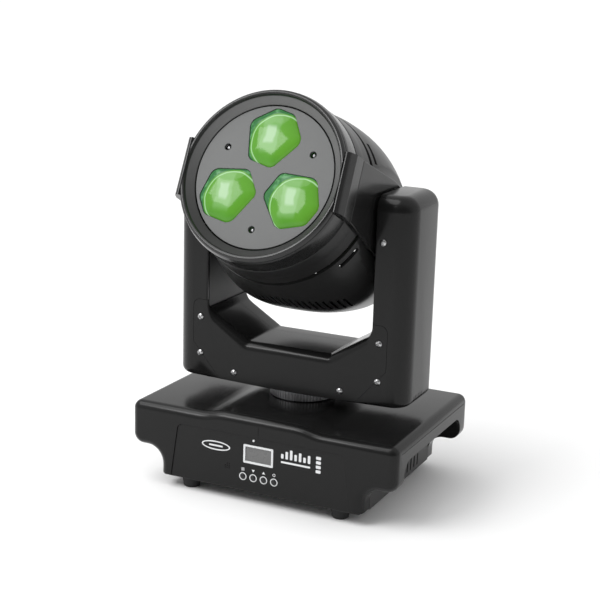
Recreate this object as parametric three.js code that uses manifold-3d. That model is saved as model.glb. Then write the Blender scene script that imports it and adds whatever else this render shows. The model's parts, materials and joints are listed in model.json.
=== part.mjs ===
// A compact moving-head stage light: base, pan yoke and tilting head with three lenses.
// Millimetres, +Z up, front towards -Y. The origin is on the floor, under the pan axis.
import * as THREE from "three";
import { mergeVertices } from "three/addons/utils/BufferGeometryUtils.js";
import Module from "manifold-3d";

const wasm = await Module();
wasm.setup();

// ---------------------------------------------------------------- driving dimensions
const GAP = 0.3; // between pieces that touch
const WALL = 3; // moulded housings
const SHEET = 1.6; // folded sheet metal
const LONG = 400; // a cutter that runs past everything

const BASE = {
  width: 280, depth: 192, low: 12.4, wingLow: 37.4, top: 82, plateau: 86,
  boxHalf: 107.2, archHalf: 76, archTop: 62.5, topRound: 8, cornerRound: 11,
  plateauHalf: 42, rampHalf: 60,
};
const TRAY_FLOOR = 10.8; // underside of the base's sheet-metal floor
const TRAY_SLOTS = [10, 19, 28, 37, 46]; // cooling slots in its side walls, along Y
const PANEL = { bottomHalf: 95, topHalf: 87.5, top: 67, round: 6, thick: 2.4, setBack: 0.9 };
const DISPLAY = { x: 0, z: 49.8, width: 32, height: 19, rim: 1.9 };
const BUTTON = { pitch: 11, z: 26.5, firstX: -15.9, radius: 2.8, cap: 5, flange: 1.2 };
const LAMP = { x: -5, z: 64, radius: 1.1 };
const FOOT = { x: 80, y: 80.5, radius: 9.3, height: 10.5 };

const YOKE = {
  half: 123.3, depth: 80, low: 98, top: 298.5, inner: 87, floorTop: 141, shoulder: 167,
  flatHalf: 44, sideRound: 19, topRound: 15, lowRound: 13, coverSplit: 17,
  tabHalf: 103, tabLow: 134, tabTop: 177.5, plateLowHalf: 72.5,
};
const PAN = {
  pulleyLow: 87, pulleyHigh: 111, radius: 33, teeth: 66, shaft: 14, hole: 10,
  flange: 30, flangeLow: 66, shaftTop: 128, bearing: 22, bearingLow: 112, bearingHigh: 120,
};
const PIVOT_Z = 267; // height of the tilt axis
const HEAD_TILT = 26.5; // degrees that the beam points above level at rest

const HEAD = {
  ringRadius: 82, discRadius: 67.5, discFace: 107.5, ringBack: 90, lip: 116, flat: 80,
  split: 57, bulge: 93, back: -98, shell: 2.6, segments: 44,
  tabFlat: 84.3, tabHalf: 28, bracketHalf: 38.5,
};
const BARREL = { slotWidth: 2.4, slotLength: 24, slotPitch: 3.6, slotCount: 5, slotFront: 30 };
const LENS = {
  inner: 11, wide: 43.5, outer: 64, innerHalf: 13, wideHalf: 29, outerHalf: 9.5,
  middle: 38, thick: 16.4, proud: 2.4,
};
const SHAFT = { radius: 9, bore: 5.5, bearing: 15, pulley: 22, pulleyTeeth: 44 };
const MOTOR_PULLEY = { radius: 8, teeth: 16, shaft: 2.5 };
const TOOTH_DEPTH = 0.8; // of every toothed wheel

// ---------------------------------------------------------------- finishes
const finish = (color, roughness, metalness = 0) =>
  new THREE.MeshStandardMaterial({ color, roughness, metalness });
const GLOSS_BLACK = finish(0x17181a, 0.25);
const SATIN_BLACK = finish(0x222326, 0.45);
const RUBBER = finish(0x101010, 0.9);
const STEEL = finish(0xa8abb0, 0.35, 1);
const ALUMINIUM = finish(0xc4c6c9, 0.4, 1);
const DISC_GREY = finish(0xa9acae, 0.5);
const LENS_GREEN = finish(0x7be04a, 0.08);
const BOARD_GREEN = finish(0x1e5b34, 0.5);
const WHITE = finish(0xf2f3f4, 0.5);
const SCREEN = finish(0x8d939b, 0.15);

// ---------------------------------------------------------------- solids
// A closed geometry as a solid: shared corners merged and collapsed triangles dropped.
function solid(geometry) {
  const bare = geometry.index ? geometry.toNonIndexed() : geometry.clone();
  bare.deleteAttribute("normal");
  bare.deleteAttribute("uv");
  const merged = mergeVertices(bare, 1e-4);
  const index = merged.index.array;
  const triangles = [];
  for (let i = 0; i < index.length; i += 3) {
    const [a, b, c] = [index[i], index[i + 1], index[i + 2]];
    if (a !== b && b !== c && c !== a) triangles.push(a, b, c);
  }
  return new wasm.Manifold(
    new wasm.Mesh({
      numProp: 3,
      vertProperties: new Float32Array(merged.attributes.position.array),
      triVerts: new Uint32Array(triangles),
    }),
  );
}

// A solid as a geometry that a mesh can show.
function geometryOf(made) {
  const { vertProperties, triVerts } = made.getMesh();
  const geometry = new THREE.BufferGeometry();
  geometry.setAttribute("position", new THREE.BufferAttribute(vertProperties.slice(), 3));
  geometry.setIndex(new THREE.BufferAttribute(triVerts.slice(), 1));
  geometry.computeVertexNormals();
  return geometry;
}

function part(name, made, material) {
  const mesh = new THREE.Mesh(geometryOf(made), material);
  mesh.name = name;
  return mesh;
}

const joined = (pieces) => pieces.reduce((sum, piece) => sum.add(piece));
const cutBy = (piece, cutters) => cutters.reduce((left, cutter) => left.subtract(cutter), piece);

// A block between two corners.
function block(x0, x1, y0, y1, z0, z1) {
  const geometry = new THREE.BoxGeometry(x1 - x0, y1 - y0, z1 - z0);
  geometry.translate((x0 + x1) / 2, (y0 + y1) / 2, (z0 + z1) / 2);
  return solid(geometry);
}

// The directions that an outline's x, its y and the extrusion take in space.
const vector = (x, y, z) => new THREE.Vector3(x, y, z);
const FACING = {
  front: [vector(1, 0, 0), vector(0, 0, 1), vector(0, -1, 0)],
  side: [vector(0, 1, 0), vector(0, 0, 1), vector(1, 0, 0)],
  plan: [vector(1, 0, 0), vector(0, 1, 0), vector(0, 0, 1)],
};

// An outline extruded from one place to another along Y (front), X (side) or Z (plan).
function prism(shape, facing, from, to, curveSegments = 4) {
  const axes = FACING[facing];
  const geometry = new THREE.ExtrudeGeometry(shape, {
    depth: to - from, bevelEnabled: false, curveSegments,
  });
  geometry.applyMatrix4(new THREE.Matrix4().makeBasis(...axes));
  const start = facing === "front" ? to : from;
  const along = axes[2].clone().multiplyScalar(facing === "front" ? -start : start);
  geometry.translate(along.x, along.y, along.z);
  return solid(geometry);
}

// A closed outline of [x, y, radius] corners, with each corner rounded by its radius.
function outline(corners) {
  const shape = new THREE.Shape();
  const count = corners.length;
  corners.forEach(([x, y, radius = 0], i) => {
    const here = new THREE.Vector2(x, y);
    const before = new THREE.Vector2(...corners[(i + count - 1) % count]).sub(here).normalize();
    const after = new THREE.Vector2(...corners[(i + 1) % count]).sub(here).normalize();
    const half = Math.acos(THREE.MathUtils.clamp(before.dot(after), -1, 1)) / 2;
    const reach = radius / Math.tan(half);
    const start = here.clone().addScaledVector(before, reach);
    if (i === 0) shape.moveTo(start.x, start.y);
    else shape.lineTo(start.x, start.y);
    if (radius === 0) return;
    const middle = before.clone().add(after).normalize();
    const centre = here.clone().addScaledVector(middle, radius / Math.sin(half));
    const end = here.clone().addScaledVector(after, reach);
    const from = Math.atan2(start.y - centre.y, start.x - centre.x);
    const to = Math.atan2(end.y - centre.y, end.x - centre.x);
    shape.absarc(centre.x, centre.y, radius, from, to, before.cross(after) > 0);
  });
  shape.closePath();
  return shape;
}

// Half an outline, listed from the middle of the bottom round the +X side to the top,
// with its mirror image added.
const mirrored = (half) =>
  outline([...half, ...half.map(([x, y, radius]) => [-x, y, radius]).reverse()]);

const rectangle = (x0, x1, y0, y1, radius = 0) =>
  outline([[x0, y0, radius], [x1, y0, radius], [x1, y1, radius], [x0, y1, radius]]);

// A rod along Z, X or Y.
function rod(radius, from, to, segments = 24, axis = "z") {
  const geometry = new THREE.CylinderGeometry(radius, radius, to - from, segments);
  geometry.translate(0, (from + to) / 2, 0);
  if (axis === "z") geometry.rotateX(Math.PI / 2);
  if (axis === "x") geometry.rotateZ(-Math.PI / 2);
  return solid(geometry);
}

// A body turned about Z from a closed profile of [radius, height] points.
function turned(profile, segments = 48) {
  const points = profile.map(([radius, height]) => new THREE.Vector2(radius, height));
  if (THREE.ShapeUtils.area(points) < 0) points.reverse();
  points.push(points[0].clone());
  const geometry = new THREE.LatheGeometry(points, segments);
  geometry.rotateX(Math.PI / 2);
  return solid(geometry);
}

// A toothed belt pulley about Z, with a bore.
function toothed(radius, teeth, bore, from, to) {
  const shape = new THREE.Shape();
  for (let i = 0; i < 4 * teeth; i += 1) {
    const angle = (2 * Math.PI * i) / (4 * teeth);
    const reach = i % 4 < 2 ? radius : radius - TOOTH_DEPTH;
    const place = [reach * Math.cos(angle), reach * Math.sin(angle)];
    if (i === 0) shape.moveTo(...place);
    else shape.lineTo(...place);
  }
  shape.closePath();
  return prism(shape, "plan", from, to).subtract(rod(bore, from - 1, to + 1, 16));
}

// A belt round two pulleys whose centres lie on the outline's x axis.
function beltOutline(span, bigRadius, smallRadius) {
  const lean = Math.acos((bigRadius - smallRadius) / span);
  const shape = new THREE.Shape();
  shape.absarc(0, 0, bigRadius, lean, 2 * Math.PI - lean, false);
  shape.absarc(span, 0, smallRadius, -lean, lean, false);
  shape.closePath();
  return shape;
}

function belt(span, bigRadius, smallRadius, thick, from, to) {
  const outer = beltOutline(span, bigRadius + thick, smallRadius + thick);
  const inner = beltOutline(span, bigRadius, smallRadius);
  return prism(outer, "plan", from, to, 12).subtract(prism(inner, "plan", from - 1, to + 1, 12));
}

const moved = (made, x, y, z) => made.translate([x, y, z]);
const bothSides = (make) => [make(-1), make(1)];

// ---------------------------------------------------------------- base: moulded cover
const BASE_HALF = BASE.width / 2;
const BASE_BACK = BASE.depth / 2;

// The T-shaped front view: a narrow box below, wings above, joined by a hollow quarter round.
function baseFrontOutline(inset) {
  const wing = BASE_HALF - inset;
  const box = BASE.boxHalf - inset;
  return mirrored([
    [box, BASE.low, 3], [box, BASE.wingLow + inset, 15],
    [wing, BASE.wingLow + inset, 9], [wing, BASE.top - inset, BASE.topRound],
  ]);
}

function plateauOutline() {
  return mirrored([
    [BASE.rampHalf, BASE.top - 12, 0], [BASE.rampHalf, BASE.top, 0],
    [(BASE.rampHalf + BASE.plateauHalf) / 2 + 5, BASE.top + 0.6, 0],
    [(BASE.rampHalf + BASE.plateauHalf) / 2 - 5, BASE.plateau - 0.6, 0],
    [BASE.plateauHalf, BASE.plateau, 0],
  ]);
}

const sideView = (top) =>
  outline([
    [-BASE_BACK, BASE.low, 0], [BASE_BACK, BASE.low, 0],
    [BASE_BACK, top, BASE.topRound], [-BASE_BACK, top, BASE.topRound],
  ]);

function baseOuter() {
  const body = prism(baseFrontOutline(0), "front", -BASE_BACK, BASE_BACK)
    .intersect(prism(sideView(BASE.top), "side", -LONG, LONG));
  const raised = prism(plateauOutline(), "front", -BASE_BACK, BASE_BACK)
    .intersect(prism(sideView(BASE.plateau), "side", -LONG, LONG));
  const plan = rectangle(-BASE_HALF, BASE_HALF, -BASE_BACK, BASE_BACK, BASE.cornerRound);
  return body.intersect(prism(plan, "plan", 0, LONG)).add(raised);
}

// The space inside the cover: the middle, the hollow wing ends, and the two hand grips.
function baseHollows() {
  const roof = BASE.top - WALL;
  const box = BASE.boxHalf - WALL;
  const end = BASE_BACK - WALL;
  const wing = BASE_HALF - WALL;
  const middle = block(-box, box, -end, end, 0, roof);
  const grips = block(-wing, wing, -BASE.archHalf, BASE.archHalf, 0, roof);
  const wingEnds = bothSides((side) => {
    const near = BASE.archHalf + WALL;
    const [from, to] = side < 0 ? [-end + WALL, -near] : [near, end - WALL];
    return block(-wing + WALL, wing - WALL, from, to, BASE.wingLow + WALL, roof);
  });
  const under = block(-BASE.plateauHalf, BASE.plateauHalf, -end, end, 0, BASE.plateau - WALL);
  return [middle, grips, ...wingEnds, under];
}

// The arched openings in the side walls, over the hand grips.
function baseArches() {
  const arch = outline([
    [-BASE.archHalf, -10, 0], [BASE.archHalf, -10, 0],
    [BASE.archHalf, BASE.archTop, 14], [-BASE.archHalf, BASE.archTop, 14],
  ]);
  return bothSides((side) => {
    const [from, to] = side < 0 ? [-LONG, -BASE.boxHalf] : [BASE.boxHalf, LONG];
    return prism(arch, "side", from, to);
  });
}

function panelOutline(grow) {
  const low = BASE.low - 5;
  const slope = (PANEL.bottomHalf - PANEL.topHalf) / (PANEL.top - BASE.low);
  const lowHalf = PANEL.bottomHalf + 5 * slope + grow;
  return mirrored([[lowHalf, low, 0], [PANEL.topHalf + grow, PANEL.top + grow, PANEL.round]]);
}

function baseCover() {
  const front = prism(panelOutline(0), "front", -LONG, -BASE_BACK + WALL + 5);
  const back = prism(rectangle(-92, 92, 0, 66, 4), "front", BASE_BACK - WALL - 5, LONG);
  const shaftHole = rod(PAN.shaft + 4, BASE.low, LONG, 32);
  return cutBy(baseOuter(), [...baseHollows(), ...baseArches(), front, back, shaftHole]);
}

// ---------------------------------------------------------------- base: other pieces
function baseTray() {
  const box = BASE.boxHalf;
  const floorHalf = BASE.boxHalf - WALL - GAP;
  const end = BASE_BACK - WALL - GAP;
  const reach = BASE.archHalf - GAP;
  const top = TRAY_FLOOR + SHEET;
  const wallTop = BASE.top - WALL - GAP;
  const slots = TRAY_SLOTS.map((y) =>
    prism(rectangle(y - 1.6, y + 1.6, 15, 29), "side", -LONG, LONG));
  return cutBy(
    joined([
      block(-floorHalf, floorHalf, -end, end, TRAY_FLOOR, top - GAP),
      block(-box, box, -reach, reach, TRAY_FLOOR, top - GAP),
      block(-box, -box + SHEET, -reach, reach, TRAY_FLOOR, wallTop),
      block(box - SHEET, box, -reach, reach, TRAY_FLOOR, wallTop),
    ]),
    slots,
  );
}

const PANEL_FACE = -BASE_BACK + PANEL.setBack;
const buttonX = (i) => BUTTON.firstX + i * BUTTON.pitch;

function controlPanel() {
  const plate = prism(panelOutline(-GAP), "front", PANEL_FACE, PANEL_FACE + PANEL.thick)
    .intersect(block(-LONG, LONG, -LONG, LONG, BASE.low, LONG));
  const { x, z, width, height } = DISPLAY;
  const windowHole = rectangle(x - width / 2, x + width / 2, z - height / 2, z + height / 2, 1);
  const holes = [0, 1, 2, 3].map((i) =>
    moved(rod(BUTTON.radius, -LONG, LONG, 20, "y"), buttonX(i), 0, BUTTON.z));
  const lampHole = moved(rod(LAMP.radius + GAP, -LONG, LONG, 12, "y"), LAMP.x, 0, LAMP.z);
  return cutBy(plate, [prism(windowHole, "front", -LONG, LONG), ...holes, lampHole]);
}

function displayFrame() {
  const { x, z, width, height, rim } = DISPLAY;
  const w = width / 2 - GAP;
  const h = height / 2 - GAP;
  const outer = rectangle(x - w, x + w, z - h, z + h, 0.8);
  const inner = rectangle(x - w + rim, x + w - rim, z - h + rim, z + h - rim, 0.6);
  return prism(outer, "front", PANEL_FACE - 0.3, PANEL_FACE + PANEL.thick, 2)
    .subtract(prism(inner, "front", -LONG, LONG, 2));
}

function displayScreen() {
  const { x, z, width, height, rim } = DISPLAY;
  const w = width / 2 - rim - 2 * GAP;
  const h = height / 2 - rim - 2 * GAP;
  return block(x - w, x + w, PANEL_FACE + 0.6, PANEL_FACE + PANEL.thick, z - h, z + h);
}

// A push button: its cap passes through the panel and a flange behind keeps it in.
function pushButton() {
  const flangeFrom = PANEL_FACE + PANEL.thick + GAP;
  const cap = rod(BUTTON.radius - GAP, PANEL_FACE - 1.4, PANEL_FACE + BUTTON.cap, 16, "y");
  return cap.add(rod(BUTTON.radius + 1, flangeFrom, flangeFrom + BUTTON.flange, 16, "y"));
}

const BOARD = { thick: 1.6, half: 40, low: 20, high: 70, behindPanel: 4.5 };

function boardBehindPanel() {
  const from = PANEL_FACE + PANEL.thick + BOARD.behindPanel;
  return block(-BOARD.half, BOARD.half, from, from + BOARD.thick, BOARD.low, BOARD.high);
}

// Holes of the rear panel: inlet, fuse holder and the two data sockets.
const REAR = { face: BASE_BACK - 2.2, thick: 2, inletX: -58, fuseX: -22, outX: 20, inX: 58, z: 40 };

function rearPanel() {
  const plate = prism(rectangle(-91.6, 91.6, BASE.low + 0.4, 65.6, 3.6), "front",
    REAR.face - REAR.thick, REAR.face);
  const inlet = prism(rectangle(REAR.inletX - 14, REAR.inletX + 14, REAR.z - 10.5, REAR.z + 10.5, 2),
    "front", -LONG, LONG, 2);
  const fuse = moved(rod(6.5, -LONG, LONG, 20, "y"), REAR.fuseX, 0, REAR.z);
  const data = [REAR.outX, REAR.inX].map((x) =>
    moved(rod(11.5, -LONG, LONG, 24, "y"), x, 0, REAR.z));
  return cutBy(plate, [inlet, fuse, ...data]);
}

// A mains inlet: a shrouded socket body with a flange and three blades inside.
function powerInlet() {
  const face = REAR.face + GAP;
  const x = REAR.inletX;
  const rect = (w, h, radius) => rectangle(x - w, x + w, REAR.z - h, REAR.z + h, radius);
  const body = prism(rect(13.6, 10.1, 1.8), "front", face - 24, face, 2)
    .add(prism(rect(20, 12.5, 3), "front", face, face + 1.6, 3));
  const socket = prism(rect(11.8, 8.3, 2.5), "front", face - 16, LONG, 2);
  const blades = [[-7, 2], [0, -2.5], [7, 2]].map(([dx, dz]) =>
    block(x + dx - 1, x + dx + 1, face - 17, face - 3, REAR.z + dz - 2, REAR.z + dz + 2));
  return joined([body.subtract(socket), ...blades]);
}

function fuseHolder() {
  const face = REAR.face + GAP;
  const cap = turned([[0, face - 22], [6.2, face - 22], [6.2, face], [8.5, face],
    [8.5, face + 2], [6, face + 5.5], [0, face + 5.5]], 20);
  return moved(cap.rotate([90, 0, 0]).mirror([0, 1, 0]), REAR.fuseX, 0, REAR.z)
    .subtract(block(REAR.fuseX - 4.5, REAR.fuseX + 4.5, face + 4.2, LONG, REAR.z - 0.7, REAR.z + 0.7));
}

// A round three-pin data socket with a square flange; pins for the input, holes for the output.
function dataSocket(x, pins) {
  const face = REAR.face + GAP;
  const flange = prism(rectangle(x - 13, x + 13, REAR.z - 15.5, REAR.z + 15.5, 3), "front",
    face, face + 2, 3);
  const shell = moved(rod(11.2, face - 20, face + 1, 24, "y"), x, 0, REAR.z);
  const well = moved(rod(pins ? 9.4 : 9.8, face - (pins ? 15 : 2), LONG, 24, "y"), x, 0, REAR.z);
  const contactEnd = pins ? face - 3 : face;
  const contacts = [-Math.PI / 2, Math.PI / 6, (5 * Math.PI) / 6].map((angle) =>
    moved(rod(1.2, face - 16, contactEnd, 8, "y"),
      x + 4.5 * Math.cos(angle), 0, REAR.z + 4.5 * Math.sin(angle)));
  const body = flange.add(shell).subtract(well);
  return pins ? joined([body, ...contacts]) : cutBy(body, contacts);
}

function foot() {
  return turned([[0, 0], [FOOT.radius - 2, 0], [FOOT.radius, 1.6],
    [FOOT.radius, FOOT.height - GAP], [0, FOOT.height - GAP]], 20);
}

// Plain blocks for the electronics: [low x, high x, low y, high y, low z, high z].
const POWER_SUPPLY = [-98, -20, -40, 66, 16, 52];
const CONTROL_BOARD = [30, 98, -10, 78, 20, 21.6];

// The hollow pan shaft with its flange under the base's top.
function panShaft() {
  const { hole, shaft, flange, flangeLow, shaftTop } = PAN;
  const flangeTop = flangeLow + 3.5;
  return turned([[hole, flangeLow], [flange, flangeLow], [flange, flangeTop], [shaft, flangeTop],
    [shaft, shaftTop], [hole, shaftTop]], 24);
}

// The fixed toothed wheel that the pan belt walks round.
const panPulley = () =>
  toothed(PAN.radius, PAN.teeth, PAN.shaft + GAP, PAN.pulleyLow, PAN.pulleyHigh);

// ---------------------------------------------------------------- yoke
const YOKE_FACE = YOKE.depth / 2;

// The outline of the gap between the arms, at some depth of rounding from the front face.
function forkGap(drop) {
  const side = YOKE.inner + drop * 0.25;
  const high = YOKE.shoulder - drop;
  const low = YOKE.floorTop - drop;
  return outline([[-YOKE.flatHalf, low, 0], [YOKE.flatHalf, low, 0], [side, high, 0],
    [side, LONG, 0], [-side, LONG, 0], [-side, high, 0]]);
}

const FORK_ROUND = 9;

// The gap between the arms, its edges rounded in steps towards the front and the back.
function forkGapCutter() {
  const round = FORK_ROUND;
  const steps = [1, 2.4, 4.4, round];
  const middle = prism(forkGap(0), "front", -LONG, LONG);
  const rings = steps.flatMap((depth, i) => {
    const reach = round - (i === 0 ? 0 : steps[i - 1]);
    const drop = round - Math.sqrt(round * round - (reach - 0.5) ** 2);
    const cutter = forkGap(drop);
    return [
      prism(cutter, "front", -LONG, -YOKE_FACE + depth),
      prism(cutter, "front", YOKE_FACE - depth, LONG),
    ];
  });
  return joined([middle, ...rings]);
}

// The yoke's rounded block, drawn in from its outside by some distance.
function yokeBlock(inset) {
  const { half, low, top, topRound, lowRound, sideRound } = YOKE;
  const x = half - inset;
  const y = YOKE_FACE - inset;
  const front = mirrored([[x, low + inset, lowRound - inset], [x, top - inset, topRound - inset]]);
  const side = outline([[-y, low + inset, 4 - inset], [y, low + inset, 4 - inset],
    [y, top - inset, topRound - inset], [-y, top - inset, topRound - inset]]);
  const plan = rectangle(-x, x, -y, y, sideRound - inset);
  return prism(front, "front", -y, y)
    .intersect(prism(side, "side", -LONG, LONG))
    .intersect(prism(plan, "plan", 0, LONG));
}

// The space inside the yoke, open at the arms' inner faces and under the crossbar.
function yokeHollow() {
  const { low, inner, floorTop, shoulder, flatHalf } = YOKE;
  const end = YOKE_FACE - WALL;
  const overRoof = outline([[-flatHalf, floorTop - WALL, 0], [flatHalf, floorTop - WALL, 0],
    [inner, shoulder - WALL, 0], [inner, LONG, 0], [-inner, LONG, 0], [-inner, shoulder - WALL, 0]]);
  const open = inner + GAP + SHEET + 0.6;
  return yokeBlock(WALL)
    .subtract(prism(overRoof, "front", -LONG, LONG))
    .add(block(-open, open, -end, end, low - 5, low + WALL + 1));
}

// The front view of the cross covers: a bar with an upright tab beside each arm.
function crossRegion(grow) {
  const { plateLowHalf, tabHalf, tabLow, tabTop, inner, low, shoulder, flatHalf, floorTop } = YOKE;
  return mirrored([
    [plateLowHalf + grow, low - 20, 0], [plateLowHalf + grow, low + 1, 0],
    [tabHalf + grow, tabLow, 4], [tabHalf + grow, tabTop + grow, 7],
    [inner - 6, tabTop + grow, 0], [inner - 6, shoulder + 2, 0], [flatHalf, floorTop + 2, 0],
  ]);
}

function yokeShell() {
  return yokeBlock(0).subtract(forkGapCutter()).subtract(yokeHollow());
}

// What the cross covers hold: everything inside their outline except behind the tabs.
function crossPart(shell, from, to) {
  const behindTabs = bothSides((side) => {
    const [x0, x1] = side < 0 ? [-LONG, -YOKE.inner] : [YOKE.inner, LONG];
    return block(x0, x1, -YOKE_FACE + WALL, YOKE_FACE - WALL, 0, LONG);
  });
  return cutBy(shell.intersect(prism(crossRegion(0), "front", from, to)), behindTabs);
}

// One arm's cover, cut clear of the cross covers.
function armPart(shell, side) {
  const [x0, x1] = side < 0 ? [-LONG, -YOKE.plateLowHalf] : [YOKE.plateLowHalf, LONG];
  const half = shell.intersect(block(x0, x1, -LONG, LONG, 0, LONG));
  const [i0, i1] = side < 0 ? [-YOKE.inner - 2 * GAP, LONG] : [-LONG, YOKE.inner + 2 * GAP];
  const innerStrip = block(i0, i1, -LONG, LONG, YOKE.tabTop, LONG);
  const bars = [[-LONG, 0], [0, LONG]].map(([from, to]) =>
    prism(crossRegion(GAP), "front", from, to));
  return cutBy(half, [...bars, innerStrip]);
}

// The folded steel frame: a floor with the pan hole, and an upright plate inside each arm.
function yokeFrame() {
  const end = YOKE_FACE - WALL - GAP;
  const floorLow = YOKE.low + GAP;
  const floor = block(-YOKE.inner - GAP - SHEET, YOKE.inner + GAP + SHEET, -end, end,
    floorLow, floorLow + SHEET);
  const uprights = bothSides((side) => {
    const near = YOKE.inner + GAP;
    const [x0, x1] = side < 0 ? [-near - SHEET, -near] : [near, near + SHEET];
    const plate = outline([[-end, floorLow, 0], [end, floorLow, 0],
      [end, YOKE.top - WALL - GAP, 12], [-end, YOKE.top - WALL - GAP, 12]]);
    return prism(plate, "side", x0, x1, 3);
  });
  const shaftHole = moved(rod(SHAFT.bearing + GAP, -LONG, LONG, 32, "x"), 0, 0, PIVOT_Z);
  const panHole = rod(PAN.radius + 1.2, 0, YOKE.low + 10, 40);
  return cutBy(joined([floor, ...uprights]), [shaftHole, panHole]);
}

const BRIDGE = { half: 30, low: 114, high: 116 };

// A bridge over the pan wheel that carries the bearing.
function panBridge() {
  const end = YOKE_FACE - WALL - GAP;
  const { half, low, high } = BRIDGE;
  const plate = block(-half, half, -end, end, low, high);
  const legs = bothSides((side) => {
    const [y0, y1] = side < 0 ? [-end, SHEET - end] : [end - SHEET, end];
    return block(-half, half, y0, y1, YOKE.low + 2 * GAP + SHEET, low + 1);
  });
  return joined([plate, ...legs]).subtract(rod(PAN.bearing + GAP, 0, LONG, 32));
}

const panBearing = () =>
  turned([[PAN.shaft + GAP, PAN.bearingLow], [PAN.bearing, PAN.bearingLow],
    [PAN.bearing, PAN.bearingHigh], [PAN.shaft + GAP, PAN.bearingHigh]], 24);

// A square-bodied stepper motor on Z with a shaft towards -Z.
function stepper(width, length, shaftLength) {
  const w = width / 2;
  const body = prism(rectangle(-w, w, -w, w, 4), "plan", 0, length, 2);
  const shaft = rod(MOTOR_PULLEY.shaft, -shaftLength, 1, 12);
  return body.add(rod(10, -1.5, 1, 20)).add(shaft);
}

const PAN_MOTOR = { x: 67, base: 116, width: 40, length: 21 };
const TILT_MOTOR = { z: 178, width: 42, length: 18.5, innerX: 89.5 };
const BELT = { low: 103, high: 109, thick: 1.2 };

function panMotor() {
  return moved(stepper(PAN_MOTOR.width, PAN_MOTOR.length, 15), -PAN_MOTOR.x, 0, PAN_MOTOR.base);
}

const motorPulley = (from, to) =>
  toothed(MOTOR_PULLEY.radius, MOTOR_PULLEY.teeth, MOTOR_PULLEY.shaft + GAP, from, to);

const panBelt = () =>
  belt(PAN_MOTOR.x, PAN.radius + GAP, MOTOR_PULLEY.radius + GAP, BELT.thick, BELT.low, BELT.high)
    .rotate([0, 0, 180]);

// Turns a piece made about Z so that +Z lies along +X.
const layAlongX = (made) => made.rotate([0, 90, 0]);

function tiltMotor() {
  const { innerX, length, z, width } = TILT_MOTOR;
  return moved(layAlongX(stepper(width, length, 9).mirror([0, 0, 1])), innerX + length, 0, z);
}

const TILT_PULLEY = { from: 110.6, to: 116.6 };

function tiltBelt() {
  const span = PIVOT_Z - TILT_MOTOR.z;
  const made = belt(span, SHAFT.pulley + GAP, MOTOR_PULLEY.radius + GAP, BELT.thick,
    TILT_PULLEY.from + 0.5, TILT_PULLEY.to - 0.5);
  return moved(layAlongX(made), 0, 0, PIVOT_Z);
}

function tiltBearing(side) {
  const ring = turned([[SHAFT.radius + GAP, 0], [SHAFT.bearing, 0], [SHAFT.bearing, 4],
    [18, 4], [18, 7], [SHAFT.radius + GAP, 7]], 24);
  const along = layAlongX(side > 0 ? ring : ring.mirror([0, 0, 1]));
  return moved(along, side * (YOKE.inner - 2), 0, PIVOT_Z);
}

// ---------------------------------------------------------------- head, about the tilt axis
// Head frame: +Z is the beam direction, +Y is up across the beam, X as in the fixture.
const SHELL_CURVE = [[55.7, 86.8], [35, 90.6], [5, HEAD.bulge], [-22, 91],
  [-50, 84.6], [-75, 77.4], [-89, 72.6], [-95.5, 68], [HEAD.back, 62]];

function bezelRing() {
  const { ringRadius, ringBack, lip, discFace } = HEAD;
  const ring = turned([
    [79.6, ringBack], [ringRadius + 1, ringBack], [ringRadius, 110], [ringRadius - 1.2, 113.6],
    [78.6, 115.6], [77, lip], [76, 115], [75.2, 113.4], [68.6, discFace + 0.3],
    [68.6, discFace - 4], [79.6, discFace - 7],
  ], HEAD.segments);
  return joined([ring, ...bothSides(bezelTab)]);
}

// The straight bar that stands in for the bezel's round edge beside each arm.
function bezelTab(side) {
  const { tabFlat, tabHalf, ringBack, lip } = HEAD;
  const profile = outline([[77.6, ringBack, 0], [tabFlat, ringBack, 0],
    [tabFlat, lip - 10.5, 2], [81.4, lip - 2.6, 3.5], [77.6, lip + 0.6, 0]]);
  const view = outline([[-tabHalf, ringBack, 0], [tabHalf + 2, ringBack, 0],
    [tabHalf, lip + 3, 0], [-tabHalf + 1, lip + 3, 0]]);
  return prismAcross(profile, -tabHalf - 5, tabHalf + 5, side)
    .intersect(prism(view, "side", -LONG, LONG));
}

// An outline in head X and Z, extruded along head Y; side -1 mirrors it.
function prismAcross(shape, from, to, side) {
  const made = prism(shape, "front", from, to);
  return side < 0 ? made.mirror([1, 0, 0]) : made;
}

// Below the tilt axis the barrel's section grows from a circle at the front to a soft square.
const SQUARENESS = 2.7;
const ROUND_FROM = 50; // head Z above which the section stays round
const SQUARE_FROM = -20; // head Z below which it is fully squared

function squareBelow(made) {
  return made.warp((place) => {
    const [x, y, z] = place;
    const radius = Math.hypot(x, y);
    if (y >= 0 || radius < 1) return;
    const sum = Math.abs(x / radius) ** SQUARENESS + Math.abs(y / radius) ** SQUARENESS;
    const share = THREE.MathUtils.clamp((ROUND_FROM - z) / (ROUND_FROM - SQUARE_FROM), 0, 1);
    const grow = 1 + (sum ** (-1 / SQUARENESS) - 1) * share;
    place[0] = x * grow;
    place[1] = y * grow;
  });
}

// A round shell with flat sides, hollow, from a closed outer and a closed inner profile.
function flatSided(outer, inner, shape = (made) => made) {
  const within = (half) => block(-half, half, -LONG, LONG, -LONG, LONG);
  const hollow = shape(turned(inner, HEAD.segments)).intersect(within(HEAD.flat - HEAD.shell));
  return shape(turned(outer, HEAD.segments)).intersect(within(HEAD.flat)).subtract(hollow);
}

function frontShell() {
  const low = HEAD.split + 1.3;
  const high = HEAD.ringBack - GAP;
  const outer = [[0, low], [86.3, low], [84.4, 72], [83.2, high], [0, high]];
  const inner = [[0, low - 1], [83.7, low - 1], [81.8, 72], [80.6, high + 1], [0, high + 1]];
  return flatSided(outer, inner);
}

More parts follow.
